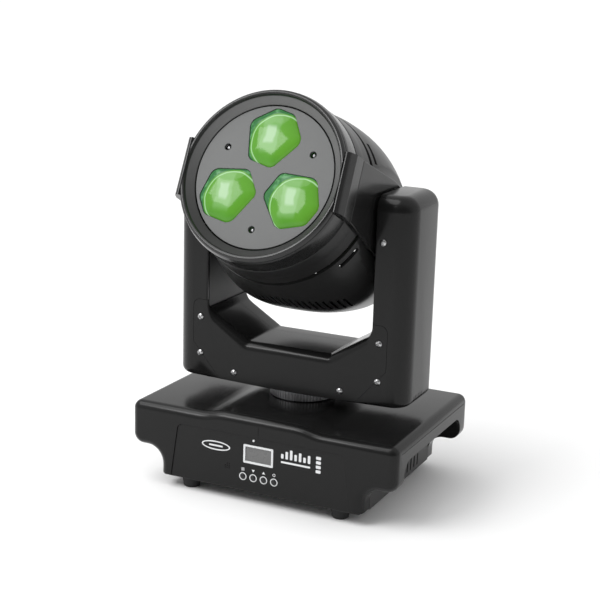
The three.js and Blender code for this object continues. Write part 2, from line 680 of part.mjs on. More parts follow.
// Cooling slots under the barrel, in a row that bends back from the middle on both sides.
function coolingSlots() {
  const { slotWidth, slotLength, slotPitch, slotCount, slotFront } = BARREL;
  return Array.from({ length: 2 * slotCount + 1 }, (_, i) => {
    const step = i - slotCount;
    const front = slotFront - 5 * Math.abs(step);
    const slot = rectangle(-slotWidth / 2, slotWidth / 2, front - slotLength, front);
    return prism(slot, "front", -LONG, -60).rotate([0, 0, 2 * step * slotPitch]);
  });
}

// Openings in the flat back, behind the fan.
function backOpenings() {
  const count = 8;
  return Array.from({ length: count }, (_, i) =>
    block(16, 44, -4, 4, HEAD.back - 5, HEAD.back + 6).rotate([0, 0, (360 * i) / count]));
}

function rearShell() {
  const wall = SHELL_CURVE.map(([z, radius]) => [radius, z]);
  const inner = SHELL_CURVE.map(([z, radius]) => [radius - HEAD.shell, z]);
  const floor = HEAD.back + HEAD.shell;
  const top = SHELL_CURVE[0][0];
  const hollow = [[0, top + 1], [inner[0][0], top + 1], ...inner.slice(0, -1), [0, floor]];
  const shaftHole = rod(SHAFT.radius + 1, -LONG, LONG, 24, "x");
  return cutBy(flatSided([[0, top], ...wall, [0, HEAD.back]], hollow, squareBelow),
    [...coolingSlots(), ...backOpenings(), shaftHole]);
}

// The flat side plate that carries a tilt shaft: widest at the tilt axis.
function sideBracket(side) {
  const { tabHalf, bracketHalf, ringBack, flat, tabFlat } = HEAD;
  const plate = outline([
    [-tabHalf, ringBack - GAP, 0], [-bracketHalf, 8, 6], [-bracketHalf, -10, 6], [-tabHalf, -76, 8],
    [tabHalf, -76, 8], [bracketHalf, -10, 6], [bracketHalf, 8, 6], [tabHalf + 2, ringBack - GAP, 0],
  ]);
  const [x0, x1] = side < 0 ? [-tabFlat, -flat - GAP] : [flat + GAP, tabFlat];
  return prism(plate, "side", x0, x1).subtract(rod(SHAFT.radius + GAP, -LONG, LONG, 24, "x"));
}

// The outline of one lens: a six-sided pane with soft corners, narrow towards the middle.
function lensOutline(grow) {
  const { inner, wide, outer, innerHalf, wideHalf, outerHalf } = LENS;
  return outline([
    [innerHalf + grow, inner - grow, 7], [wideHalf + grow, wide, 9], [outerHalf + grow, outer + grow, 8],
    [-outerHalf - grow, outer + grow, 8], [-wideHalf - grow, wide, 9], [-innerHalf - grow, inner - grow, 7],
  ]);
}

// Where each lens stands round the disc, and how far its outline is turned about its middle.
const LENS_TURNS = [0, 120, 240];
const LENS_TWISTS = [-16, 0, 0];

function lensPane(index, grow, from, to) {
  return moved(prism(lensOutline(grow), "plan", from, to, 3), 0, -LENS.middle, 0)
    .rotate([0, 0, LENS_TWISTS[index]])
    .translate([0, LENS.middle, 0])
    .rotate([0, 0, LENS_TURNS[index]]);
}

const DISC_HOLE = { radius: 3.1, out: 49.5 }; // over each of the disc's screws

function lensDisc() {
  const face = HEAD.discFace;
  const plate = rod(HEAD.discRadius, face - 3, face, HEAD.segments);
  const windows = LENS_TURNS.map((turn, index) => lensPane(index, 0, face - 10, face + 10));
  const screwHoles = LENS_TURNS.map((turn) =>
    moved(rod(DISC_HOLE.radius, face - 10, face + 10, 16), 0, -DISC_HOLE.out, 0).rotate([0, 0, turn]));
  return cutBy(plate, [...windows, ...screwHoles]);
}

function lens(index) {
  const front = HEAD.discFace + LENS.proud;
  return lensPane(index, -GAP, front - LENS.thick, front);
}

const LED_BOARD = { radius: 64, back: 72, front: 74, hole: 4 };

// The round board that carries one light chip behind each lens.
const ledBoard = () =>
  rod(LED_BOARD.radius, LED_BOARD.back, LED_BOARD.front, 40).subtract(rod(LED_BOARD.hole, 0, LONG, 16));

const SINK = { radius: 60, plateBack: 62, finCount: 11, finPitch: 10, finBack: 24 };

// A finned cooler behind the light board.
function heatSink() {
  const { radius, plateBack, finCount, finPitch, finBack } = SINK;
  const plate = rod(radius, plateBack, LED_BOARD.back - GAP, 36);
  const fins = Array.from({ length: finCount }, (_, i) => {
    const x = finPitch * (i - (finCount - 1) / 2);
    const reach = Math.sqrt((radius - 2) ** 2 - x * x) - 1;
    return block(x - 1, x + 1, -reach, reach, finBack, plateBack + 1);
  });
  return joined([plate, ...fins]);
}

// The pressed frame across the head that ties the side brackets together.
function headFrame() {
  const reach = HEAD.flat - HEAD.shell - GAP;
  const plate = block(-reach, reach, -24, 24, -20, -18);
  const ends = bothSides((side) => {
    const [x0, x1] = side < 0 ? [-reach, SHEET - reach] : [reach - SHEET, reach];
    return block(x0, x1, -24, 24, -19, 40);
  });
  return joined([plate, ...ends]).subtract(rod(SHAFT.radius + GAP, -LONG, LONG, 24, "x"));
}

// A tilt shaft: a flanged hollow tube through the bracket and the yoke's bearing.
function tiltShaft(side, reach) {
  const { radius, bore } = SHAFT;
  const inside = HEAD.flat - HEAD.shell - SHEET - 2 * GAP;
  const tube = turned([[bore, inside - 2], [16, inside - 2], [16, inside], [radius, inside],
    [radius, reach], [bore, reach]], 24);
  return layAlongX(side > 0 ? tube : tube.mirror([0, 0, 1]));
}

const tiltPulley = () =>
  layAlongX(toothed(SHAFT.pulley, SHAFT.pulleyTeeth, SHAFT.radius + GAP,
    TILT_PULLEY.from, TILT_PULLEY.to));

const FAN = { size: 92, from: -94, to: -70, bore: 44 };

function fanFrame() {
  const half = FAN.size / 2;
  const body = prism(rectangle(-half, half, -half, half, 6), "plan", FAN.from, FAN.to, 3);
  const spider = [0, 90].map((turn) =>
    block(-half + 1, half - 1, -2, 2, FAN.to - 2, FAN.to).rotate([0, 0, turn]));
  return joined([body.subtract(rod(FAN.bore, -LONG, LONG, 40)), ...spider, rod(16, FAN.to - 4, FAN.to, 24)]);
}

// The fan's hub and seven raked blades, clear of its frame all round.
function fanRotor() {
  const hub = rod(17, FAN.from + 2, FAN.to - 5, 24);
  const blades = Array.from({ length: 7 }, (_, i) => {
    const blade = block(10, FAN.bore - 2, -1, 1, -9, 9).rotate([38, 0, 0]);
    return moved(blade, 0, 0, (FAN.from + FAN.to) / 2 - 2).rotate([0, 0, (360 * i) / 7]);
  });
  return joined([hub, ...blades]).intersect(rod(FAN.bore - 1.5, FAN.from + 2, FAN.to - 5, 40));
}

// ---------------------------------------------------------------- assembly
function makeBase() {
  const group = new THREE.Group();
  group.add(part("base_cover", baseCover(), GLOSS_BLACK));
  group.add(part("base_tray", baseTray(), SATIN_BLACK));
  group.add(part("control_panel", controlPanel(), GLOSS_BLACK));
  group.add(part("display_frame", displayFrame(), WHITE));
  group.add(part("display_screen", displayScreen(), SCREEN));
  ["menu", "down", "up", "enter"].forEach((name, i) => {
    const button = part(`button_${name}`, pushButton(), SATIN_BLACK);
    button.position.set(buttonX(i), 0, BUTTON.z);
    group.add(button);
  });
  const lampRod = rod(LAMP.radius, PANEL_FACE - 0.6, PANEL_FACE + 4, 12, "y");
  const lamp = part("status_lamp", lampRod, WHITE);
  lamp.position.set(LAMP.x, 0, LAMP.z);
  group.add(lamp);
  group.add(part("display_board", boardBehindPanel(), BOARD_GREEN));
  group.add(part("rear_panel", rearPanel(), SATIN_BLACK));
  group.add(part("power_inlet", powerInlet(), SATIN_BLACK));
  group.add(part("fuse_holder", fuseHolder(), SATIN_BLACK));
  group.add(part("data_out_socket", dataSocket(REAR.outX, false), STEEL));
  group.add(part("data_in_socket", dataSocket(REAR.inX, true), STEEL));
  const corners = { front_left: [-1, -1], front_right: [1, -1], rear_left: [-1, 1], rear_right: [1, 1] };
  for (const [name, [sx, sy]] of Object.entries(corners)) {
    const made = part(`foot_${name}`, foot(), RUBBER);
    made.position.set(sx * FOOT.x, sy * FOOT.y, 0);
    group.add(made);
  }
  group.add(part("power_supply", block(...POWER_SUPPLY), ALUMINIUM));
  group.add(part("control_board", block(...CONTROL_BOARD), BOARD_GREEN));
  group.add(part("pan_shaft", panShaft(), STEEL));
  group.add(part("pan_pulley", panPulley(), ALUMINIUM));
  return group;
}

function makeYoke() {
  const group = new THREE.Group();
  const shell = yokeShell();
  group.add(part("yoke_frame", yokeFrame(), STEEL));
  group.add(part("left_arm_cover", armPart(shell, -1), GLOSS_BLACK));
  group.add(part("right_arm_cover", armPart(shell, 1), GLOSS_BLACK));
  group.add(part("front_cross_cover", crossPart(shell, -LONG, YOKE.coverSplit - GAP), GLOSS_BLACK));
  group.add(part("rear_cross_cover", crossPart(shell, YOKE.coverSplit, LONG), GLOSS_BLACK));
  group.add(part("pan_bridge", panBridge(), STEEL));
  group.add(part("pan_bearing", panBearing(), STEEL));
  group.add(part("pan_motor", panMotor(), SATIN_BLACK));
  const panDrive = part("pan_motor_pulley", motorPulley(BELT.low - 1, BELT.high + 1), ALUMINIUM);
  panDrive.position.set(-PAN_MOTOR.x, 0, 0);
  group.add(panDrive);
  group.add(part("pan_belt", panBelt(), RUBBER));
  group.add(part("tilt_motor", tiltMotor(), SATIN_BLACK));
  const tiltDrive = part("tilt_motor_pulley",
    layAlongX(motorPulley(TILT_PULLEY.from, TILT_PULLEY.to)), ALUMINIUM);
  tiltDrive.position.set(0, 0, TILT_MOTOR.z);
  group.add(tiltDrive);
  group.add(part("tilt_belt", tiltBelt(), RUBBER));
  group.add(part("left_tilt_bearing", tiltBearing(-1), STEEL));
  group.add(part("right_tilt_bearing", tiltBearing(1), STEEL));
  return group;
}

function makeHead() {
  const group = new THREE.Group();
  group.add(part("bezel_ring", bezelRing(), GLOSS_BLACK));
  group.add(part("head_front_shell", frontShell(), GLOSS_BLACK));
  group.add(part("head_rear_shell", rearShell(), GLOSS_BLACK));
  group.add(part("left_side_bracket", sideBracket(-1), SATIN_BLACK));
  group.add(part("right_side_bracket", sideBracket(1), SATIN_BLACK));
  group.add(part("lens_disc", lensDisc(), DISC_GREY));
  ["top", "left", "right"].forEach((name, i) =>
    group.add(part(`lens_${name}`, lens(i), LENS_GREEN)));
  group.add(part("led_board", ledBoard(), BOARD_GREEN));
  group.add(part("heat_sink", heatSink(), ALUMINIUM));
  group.add(part("head_frame", headFrame(), STEEL));
  group.add(part("left_tilt_shaft", tiltShaft(-1, 100), STEEL));
  group.add(part("right_tilt_shaft", tiltShaft(1, 118), STEEL));
  group.add(part("tilt_pulley", tiltPulley(), ALUMINIUM));
  group.add(part("fan_frame", fanFrame(), SATIN_BLACK));
  group.add(part("fan_rotor", fanRotor(), SATIN_BLACK));
  group.position.z = PIVOT_Z;
  group.rotation.x = THREE.MathUtils.degToRad(90 - HEAD_TILT);
  return group;
}

const fixture = new THREE.Group();
fixture.add(makeBase(), makeYoke(), makeHead());

export default fixture;
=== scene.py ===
# A moving-head stage light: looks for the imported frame.
# Shapes are drawn in millimetres and scaled to metres when a piece is finished.
import json
import math

import bmesh
import bpy
from mathutils import Matrix, Vector


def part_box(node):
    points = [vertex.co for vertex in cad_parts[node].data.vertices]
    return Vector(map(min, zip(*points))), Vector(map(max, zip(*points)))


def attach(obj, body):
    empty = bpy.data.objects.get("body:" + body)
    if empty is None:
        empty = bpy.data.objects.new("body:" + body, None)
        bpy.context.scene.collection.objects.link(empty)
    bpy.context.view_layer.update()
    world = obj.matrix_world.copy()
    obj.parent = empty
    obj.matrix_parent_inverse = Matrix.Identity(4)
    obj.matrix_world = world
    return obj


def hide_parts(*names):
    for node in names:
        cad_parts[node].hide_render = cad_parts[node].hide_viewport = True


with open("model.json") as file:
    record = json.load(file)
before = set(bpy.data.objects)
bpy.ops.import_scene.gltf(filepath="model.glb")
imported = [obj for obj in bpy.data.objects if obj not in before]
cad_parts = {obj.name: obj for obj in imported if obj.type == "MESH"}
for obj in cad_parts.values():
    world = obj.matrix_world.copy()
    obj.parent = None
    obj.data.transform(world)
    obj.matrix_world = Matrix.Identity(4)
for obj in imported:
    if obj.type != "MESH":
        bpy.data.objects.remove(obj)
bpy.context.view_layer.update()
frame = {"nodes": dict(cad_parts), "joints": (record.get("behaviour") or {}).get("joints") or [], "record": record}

MM = 0.001
GAP = 0.3
FAR = 400


def box_mm(node):
    low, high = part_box(node)
    return low / MM, high / MM


JOINTS = {joint["name"]: joint for joint in frame["joints"]}
PIVOT = Vector(JOINTS["tilt"]["pos_m"]) / MM
BEAM = Vector(JOINTS["fan_turn"]["axis"])
# Carries a piece drawn about its own Z (the beam) to its place on the tilted head.
HEAD_PLACE = Matrix.Translation(PIVOT) @ Matrix.Rotation(math.acos(BEAM.z), 4, "X")


# ---------------------------------------------------------------- finishes
class Term:
    """A value in a finish's node tree; arithmetic on it adds Math nodes."""

    def __init__(self, finish, socket):
        self.finish = finish
        self.socket = socket

    def calculate(self, operation, first, second):
        return self.finish.node(
            "ShaderNodeMath", {0: first, 1: second}, operation=operation
        )

    def __add__(self, other):
        return self.calculate("ADD", self, other)

    def __radd__(self, other):
        return self.calculate("ADD", other, self)

    def __sub__(self, other):
        return self.calculate("SUBTRACT", self, other)

    def __mul__(self, other):
        return self.calculate("MULTIPLY", self, other)

    def __truediv__(self, other):
        return self.calculate("DIVIDE", self, other)


class Finish:
    """One procedural material, built around a Principled shader."""

    def __init__(self, name, **constants):
        self.material = bpy.data.materials.new(name)
        self.material.use_nodes = True
        self.tree = self.material.node_tree
        self.shader = self.tree.nodes["Principled BSDF"]
        for key, value in constants.items():
            self.shader.inputs[key.replace("_", " ")].default_value = value
        self.place = self.node("ShaderNodeTexCoord", output="Object")

    def node(self, kind, sockets=None, output=0, **settings):
        made = self.tree.nodes.new(kind)
        for key, value in settings.items():
            setattr(made, key, value)
        for key, value in (sockets or {}).items():
            self.feed(made.inputs[key], value)
        return Term(self, made.outputs[output])

    def feed(self, socket, value):
        if isinstance(value, Term):
            self.tree.links.new(value.socket, socket)
        else:
            socket.default_value = value

    def drive(self, name, value):
        self.feed(self.shader.inputs[name], value)

    def noise(self, scale, detail=3.0, roughness=0.55, place=None):
        return self.node(
            "ShaderNodeTexNoise",
            {"Vector": place or self.place, "Scale": scale, "Detail": detail, "Roughness": roughness},
            output="Fac",
        )

    def ramp(self, value, low, high, first=0.0, last=1.0):
        return self.node(
            "ShaderNodeMapRange",
            {"Value": value, "From Min": low, "From Max": high, "To Min": first, "To Max": last},
            interpolation_type="SMOOTHSTEP",
        )

    def blend(self, factor, first, second):
        made = self.tree.nodes.new("ShaderNodeMix")
        made.data_type = "RGBA"
        self.feed(made.inputs[0], factor)
        self.feed(made.inputs[6], first)
        self.feed(made.inputs[7], second)
        return Term(self, made.outputs[2])

    def bump(self, height):
        self.drive(
            "Normal",
            self.node("ShaderNodeBump", {"Height": height, "Distance": 1.0, "Strength": 1.0}),
        )


def grey(value):
    return (value, value, value, 1.0)


# Specular level of the black mouldings.
SHEEN = 0.2


def moulded_black(name, tone, roughness, grain_height, wave_height=0.00012):
    """Moulded plastic: faint grain and flow waves, thin dust and fine rubbed marks."""
    finish = Finish(name, IOR=1.5, Specular_IOR_Level=SHEEN)
    smudge = finish.noise(16.0, 5.0, 0.6)
    dust = finish.ramp(finish.noise(2600.0, 2.0), 0.66, 0.74)
    hair = finish.ramp(
        finish.noise(60.0, 2.0, place=finish.node(
            "ShaderNodeMapping", {"Vector": finish.place, "Scale": (1.0, 14.0, 9.0)})),
        0.66, 0.78,
    )
    finish.drive("Base Color", finish.blend(dust * 0.10 + smudge * 0.05, grey(tone), grey(tone * 3 + 0.03)))
    finish.drive("Roughness", roughness + (smudge - 0.5) * 0.10 + hair * 0.05 + dust * 0.06)
    finish.bump(finish.noise(1400.0, 2.0) * grain_height + finish.noise(26.0, 2.0) * wave_height)
    return finish.material


def head_place_of(finish):
    """A point's place in the head's own frame, in millimetres: across, up and along the beam."""
    moved = finish.node(
        "ShaderNodeVectorMath", {0: finish.place, 1: tuple(PIVOT * MM)}, operation="SUBTRACT")
    inverse = HEAD_PLACE.to_3x3().inverted().to_euler()
    turned_back = finish.node("ShaderNodeMapping", {"Vector": moved, "Rotation": tuple(inverse)})
    split = finish.node("ShaderNodeSeparateXYZ", {"Vector": turned_back}).socket.node
    return [Term(finish, split.outputs[axis]) / MM for axis in "XYZ"]


# Where the bezel's dished wall fades in: by distance from the beam, and by place along it.
BEZEL_WALL_RADIUS = (75.6, 74.8)
BEZEL_WALL_ALONG = (106.0, 107.5)


def bezel_black():
    """Black moulded ring whose dished inner wall is satin, coloured with painted reflected light: a grey that
    grows lighter towards its top.
    """
    finish = Finish("bezel_black", IOR=1.5, Specular_IOR_Level=0.4)
    across, up, along = head_place_of(finish)
    radius = finish.node("ShaderNodeMath", {0: across * across + up * up}, operation="SQRT")
    wall = finish.ramp(radius, *BEZEL_WALL_RADIUS) * finish.ramp(along, *BEZEL_WALL_ALONG)
    smudge = finish.noise(18.0, 4.0)
    grain = finish.noise(1400.0, 2.0)
    ring = finish.blend(smudge * 0.1, grey(0.010), grey(0.05))
    # Painted reflected light: the inner wall's grey is lighter towards its top.
    painted_light_to_top = finish.ramp(up, -60.0, 40.0)
    pale = finish.blend(painted_light_to_top, grey(0.022), grey(0.13))
    finish.drive("Base Color", finish.blend(wall, ring, pale))
    finish.drive("Roughness", 0.20 + wall * 0.22 + (smudge - 0.5) * 0.08)
    finish.bump(grain * 0.00001)
    return finish.material


def powder_coat(name, tone, roughness):
    """Textured paint on sheet metal: small even pebbles."""
    finish = Finish(name, IOR=1.5)
    pebble = finish.noise(900.0, 2.0, 0.4)
    cloud = finish.noise(24.0, 4.0)
    finish.drive("Base Color", finish.blend(cloud, grey(tone), grey(tone * 1.7)))
    finish.drive("Roughness", roughness + (cloud - 0.5) * 0.12)
    finish.bump(pebble * 0.00009)
    return finish.material


def bare_metal(name, colour, roughness, stretch):
    """Bare metal with fine lines along one way and dull patches."""
    finish = Finish(name, Metallic=1.0)
    lines = finish.noise(700.0, 2.0, place=finish.node(
        "ShaderNodeMapping", {"Vector": finish.place, "Scale": stretch}))
    cloud = finish.noise(40.0, 4.0)
    darker = (colour[0] * 0.72, colour[1] * 0.72, colour[2] * 0.74, 1.0)
    finish.drive("Base Color", finish.blend(cloud, darker, (*colour, 1.0)))
    finish.drive("Roughness", roughness + (cloud - 0.5) * 0.16 + lines * 0.06)
    finish.bump(lines * 0.00002)
    return finish.material


def plain_moulding(name, colour, roughness, variation=0.12):
    """Coloured plastic, ink or rubber with a little mottling."""
    finish = Finish(name, IOR=1.47)
    cloud = finish.noise(90.0, 4.0)
    speck = finish.noise(1800.0, 2.0)
    darker = tuple(c * (1 - variation) for c in colour)
    finish.drive("Base Color", finish.blend(cloud, (*darker, 1.0), (*colour, 1.0)))
    finish.drive("Roughness", roughness + (speck - 0.5) * 0.12)
    finish.bump(speck * 0.00003)
    return finish.material


def circuit_board():
    """Green solder mask with faint copper tracks under it."""
    finish = Finish("circuit_board", IOR=1.5)
    track = finish.node(
        "ShaderNodeTexBrick",
        {"Vector": finish.place, "Scale": 160.0, "Mortar Size": 0.03,
         "Color1": (0.012, 0.09, 0.03, 1), "Color2": (0.016, 0.12, 0.04, 1), "Mortar": (0.05, 0.24, 0.08, 1)},
        output="Color",
    )
    finish.drive("Base Color", track)
    finish.drive("Roughness", 0.3 + finish.noise(60.0) * 0.2)
    return finish.material


def display_glass():
    """An unlit grey display behind a glossy window, with a faint dot grid."""
    finish = Finish("display_glass", IOR=1.5, Coat_Weight=0.6, Coat_Roughness=0.05)
    dots = finish.node("ShaderNodeTexVoronoi", {"Vector": finish.place, "Scale": 1700.0}, output="Distance")
    cloud = finish.noise(70.0)
    finish.drive("Base Color", finish.blend(finish.ramp(dots, 0.2, 0.5), grey(0.085), grey(0.12)))
    finish.drive("Roughness", 0.22 + cloud * 0.1)
    return finish.material


def lit_lens(name, turn):
    """A lit moulded lens: lime body, pale upright band and core, painted shade in dark teal along its upper-left
    rim with a painted highlight line just inside it.
    """
    finish = Finish(
        name, IOR=1.45, Roughness=0.12, Specular_IOR_Level=0.25, Emission_Strength=1.0
    )
    across, up, _ = head_place_of(finish)
    middle = lens_middle(turn)
    across = across - middle.x
    up = up - middle.y
    wobble = (finish.noise(90.0, 1.0) - 0.5) * 5
    side = finish.node("ShaderNodeMath", {0: across + 1.5 + wobble}, operation="ABSOLUTE")
    height = finish.node("ShaderNodeMath", {0: up - 2.0 + wobble}, operation="ABSOLUTE")
    band = finish.ramp(side, 6.5, 9.5, 1.0, 0.0) * finish.ramp(height, 14.0, 21.0, 1.0, 0.0)
    core = finish.ramp(side, 3.2, 6.0, 1.0, 0.0) * finish.ramp(height, 5.5, 10.0, 1.0, 0.0)
    # Painted shade and a painted highlight line along the upper-left rim, set by distance from a point below and
    # right of the lens middle.
    aside = across - 6.0
    above = up + 5.0
    edge = finish.node("ShaderNodeMath", {0: aside * aside + above * above}, operation="SQRT")
    edge = edge + wobble * 0.3
    facet_painted_shade = finish.ramp(edge, 26.6, 28.0)
    painted_glint_line = finish.ramp(edge, 24.6, 25.2) * finish.ramp(edge, 26.4, 25.8)
    low = finish.ramp(up + across * 0.2 + wobble, -13.0, -22.0)
    streak = finish.ramp(finish.noise(160.0, 2.0), 0.50, 0.66)
    body = finish.blend(finish.noise(40.0, 1.0), (0.05, 0.165, 0.010, 1), (0.08, 0.21, 0.016, 1))
    lowered = finish.blend(low * 0.45, body, (0.035, 0.14, 0.018, 1))
    banded = finish.blend(band * 0.62, lowered, (0.19, 0.33, 0.15, 1))
    cored = finish.blend(core * 0.85, banded, (0.36, 0.46, 0.35, 1))
    teal = finish.blend(streak, (0.035, 0.14, 0.045, 1), (0.12, 0.32, 0.13, 1))
    edged = finish.blend(facet_painted_shade * 0.9, cored, teal)
    glow = finish.blend(painted_glint_line * 0.75, edged, (0.42, 0.60, 0.42, 1))
    # The base colour is also darker where the painted shade lies.
    finish.drive("Base Color", finish.blend(facet_painted_shade, (0.05, 0.16, 0.02, 1), (0.01, 0.05, 0.02, 1)))
    finish.drive("Emission Color", glow)
    finish.bump(finish.noise(45.0, 1.0) * 0.0006)
    return finish.material


# ---------------------------------------------------------------- drawing solids
# Where an outline's across, its up and its depth go in space.
FACINGS = {
    "front": Matrix(((1, 0, 0, 0), (0, 0, 1, 0), (0, 1, 0, 0), (0, 0, 0, 1))),
    "side": Matrix(((0, 0, 1, 0), (1, 0, 0, 0), (0, 1, 0, 0), (0, 0, 0, 1))),
    "plan": Matrix.Identity(4),
}


def round_corner(bm, vert, radius, segments):
    """Rounds one corner of a flat outline."""
    first, second = [edge.other_vert(vert).co - vert.co for edge in vert.link_edges]
    reach = radius / math.tan(first.angle(second) / 2)
    bmesh.ops.bevel(
        bm, geom=[vert], offset=reach, offset_type="OFFSET", segments=segments, profile=0.5,
        affect="VERTICES", material=-1, clamp_overlap=False,
    )


def flat_outline(corners, segments=8):
    """A face in the XY plane from (x, y, radius) corners, each rounded by its radius."""
    bm = bmesh.new()
    verts = [bm.verts.new((x, y, 0)) for x, y, _ in corners]
    bm.faces.new(verts)
    for vert, (_, _, radius) in zip(verts, corners):
        if radius:
            round_corner(bm, vert, radius, segments)
    return bm


def slab(corners, low, high, facing="front", segments=8):
    """An outline given depth from low to high along Y (front), X (side) or Z (plan)."""
    bm = flat_outline(corners, segments)
    grown = bmesh.ops.extrude_face_region(bm, geom=bm.faces[:])["geom"]
    tips = [item for item in grown if isinstance(item, bmesh.types.BMVert)]
    bmesh.ops.translate(bm, verts=tips, vec=(0, 0, high - low))
    bmesh.ops.translate(bm, verts=bm.verts[:], vec=(0, 0, low))
    bmesh.ops.transform(bm, matrix=FACINGS[facing], verts=bm.verts[:])
    bmesh.ops.recalc_face_normals(bm, faces=bm.faces[:])
    return bm


def two_sided(half):
    """Half an outline, from the middle of the bottom round +X to the top, with its mirror image."""
    return half + [(-x, y, radius) for x, y, radius in reversed(half)]


def rectangle(x0, x1, y0, y1, radius=0.0):
    return [(x0, y0, radius), (x1, y0, radius), (x1, y1, radius), (x0, y1, radius)]


def block(x0, x1, y0, y1, z0, z1):
    return slab(rectangle(x0, x1, y0, y1), z0, z1, "plan")


def rod(radius, low, high, centre=(0, 0), facing="front", segments=32):
    """A round bar along Y (front), X (side) or Z (plan)."""
    bm = bmesh.new()
    bmesh.ops.create_cone(
        bm, cap_ends=True, segments=segments, radius1=radius, radius2=radius, depth=high - low
    )
    bmesh.ops.translate(bm, verts=bm.verts[:], vec=(centre[0], centre[1], (low + high) / 2))
    bmesh.ops.transform(bm, matrix=FACINGS[facing], verts=bm.verts[:])
    bmesh.ops.recalc_face_normals(bm, faces=bm.faces[:])
    return bm


def turned(corners, steps=96, segments=4, angle=2 * math.pi):
    """A body turned about Z from a closed outline of (radius, height, rounding) corners."""
    bm = flat_outline(corners, segments)
    bmesh.ops.transform(bm, matrix=FACINGS["front"], verts=bm.verts[:])
    full = angle >= 2 * math.pi
    if full:
        bmesh.ops.delete(bm, geom=bm.faces[:], context="FACES_ONLY")
    bmesh.ops.spin(
        bm, geom=bm.verts[:] + bm.edges[:] + bm.faces[:], axis=(0, 0, 1), cent=(0, 0, 0),
        steps=steps, angle=angle, use_merge=full,
    )
    bmesh.ops.remove_doubles(bm, verts=bm.verts[:], dist=0.001)
    bmesh.ops.dissolve_degenerate(bm, edges=bm.edges[:], dist=0.001)
    bmesh.ops.recalc_face_normals(bm, faces=bm.faces[:])
    return bm


def placed(bm, matrix):
    bmesh.ops.transform(bm, matrix=matrix, verts=bm.verts[:])
    return bm


def spun(bm, degrees):
    return placed(bm, Matrix.Rotation(math.radians(degrees), 4, "Z"))


def mirrored(bm):
    bmesh.ops.scale(bm, vec=(-1, 1, 1), verts=bm.verts[:])
    bmesh.ops.recalc_face_normals(bm, faces=bm.faces[:])
    return bm


def gathered(*pieces):
    """Several solids in one mesh."""
    bm = bmesh.new()
    for piece in pieces:
        mesh = bpy.data.meshes.new("part")
        piece.to_mesh(mesh)
        bm.from_mesh(mesh)
        bpy.data.meshes.remove(mesh)
    return bm


def holder(bm):
    mesh = bpy.data.meshes.new("work")
    bm.to_mesh(mesh)
    made = bpy.data.objects.new("work", mesh)
    bpy.context.scene.collection.objects.link(made)
    return made


def applied(bm, kind, tool=None, **settings):
    """The solid after one modifier, with the helper objects removed again."""
    work = holder(bm)
    helpers = [work]
    step = work.modifiers.new("step", kind)
    for key, value in settings.items():
        setattr(step, key, value)
    if tool is not None:
        helpers.append(holder(tool))
        step.object = helpers[-1]
    graph = bpy.context.evaluated_depsgraph_get()
    mesh = bpy.data.meshes.new_from_object(work.evaluated_get(graph))
    result = bmesh.new()
    result.from_mesh(mesh)
    for helper in helpers:
        data = helper.data
        bpy.data.objects.remove(helper)
        bpy.data.meshes.remove(data)
    bpy.data.meshes.remove(mesh)
    return result


def cut(bm, *tools, folded=False):
    """bm less each tool; folded is for a solid whose own faces may cross."""
    for tool in tools:
        bm = applied(bm, "BOOLEAN", tool, operation="DIFFERENCE", solver="EXACT", use_self=folded)
    return bm


def common(bm, tool, folded=False):
    return applied(bm, "BOOLEAN", tool, operation="INTERSECT", solver="EXACT", use_self=folded)


def fused(bm, *tools):
    for tool in tools:
        bm = applied(bm, "BOOLEAN", tool, operation="UNION", solver="EXACT")
    return bm


def round_edges(bm, chosen, radius, segments=6):
    edges = [edge for edge in bm.edges if chosen(*(vert.co for vert in edge.verts))]
    bmesh.ops.bevel(
        bm, geom=edges, offset=radius, offset_type="OFFSET", segments=segments, profile=0.5,
        affect="EDGES", material=-1, clamp_overlap=True,
    )
    return bm


def finished(name, bm, body, slot, material, stands_for=(), soften=0.4, sharp=32, layers=2):
    """Turns a drawn solid into a piece that rides on a body."""
    bmesh.ops.remove_doubles(bm, verts=bm.verts[:], dist=0.002)
    bmesh.ops.dissolve_degenerate(bm, edges=bm.edges[:], dist=0.002)
    bmesh.ops.scale(bm, vec=(MM, MM, MM), verts=bm.verts[:])
    mesh = bpy.data.meshes.new(name)
    bm.to_mesh(mesh)
    bm.free()
    mesh.shade_smooth()
    mesh.set_sharp_from_angle(angle=math.radians(sharp))
    piece = bpy.data.objects.new(name, mesh)
    bpy.context.scene.collection.objects.link(piece)
    mesh.materials.append(material)
    if soften:
        edge = piece.modifiers.new("soft_edges", "BEVEL")
        edge.width = soften * MM
        edge.segments = layers
        edge.limit_method = "ANGLE"
        edge.angle_limit = math.radians(sharp)
        edge.harden_normals = True
        edge.use_clamp_overlap = True
    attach(piece, body)
    if stands_for:
        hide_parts(*stands_for)
    return piece


# ---------------------------------------------------------------- the finishes in use
LENS_TURNS = {"top": 0, "left": 120, "right": 240}
LENS_TWISTS = {"top": -16, "left": 0, "right": 0}
LENS_MIDDLE = 38.0


def lens_middle(turn):
    angle = math.radians(90 + turn)
    return Vector((LENS_MIDDLE * math.cos(angle), LENS_MIDDLE * math.sin(angle)))


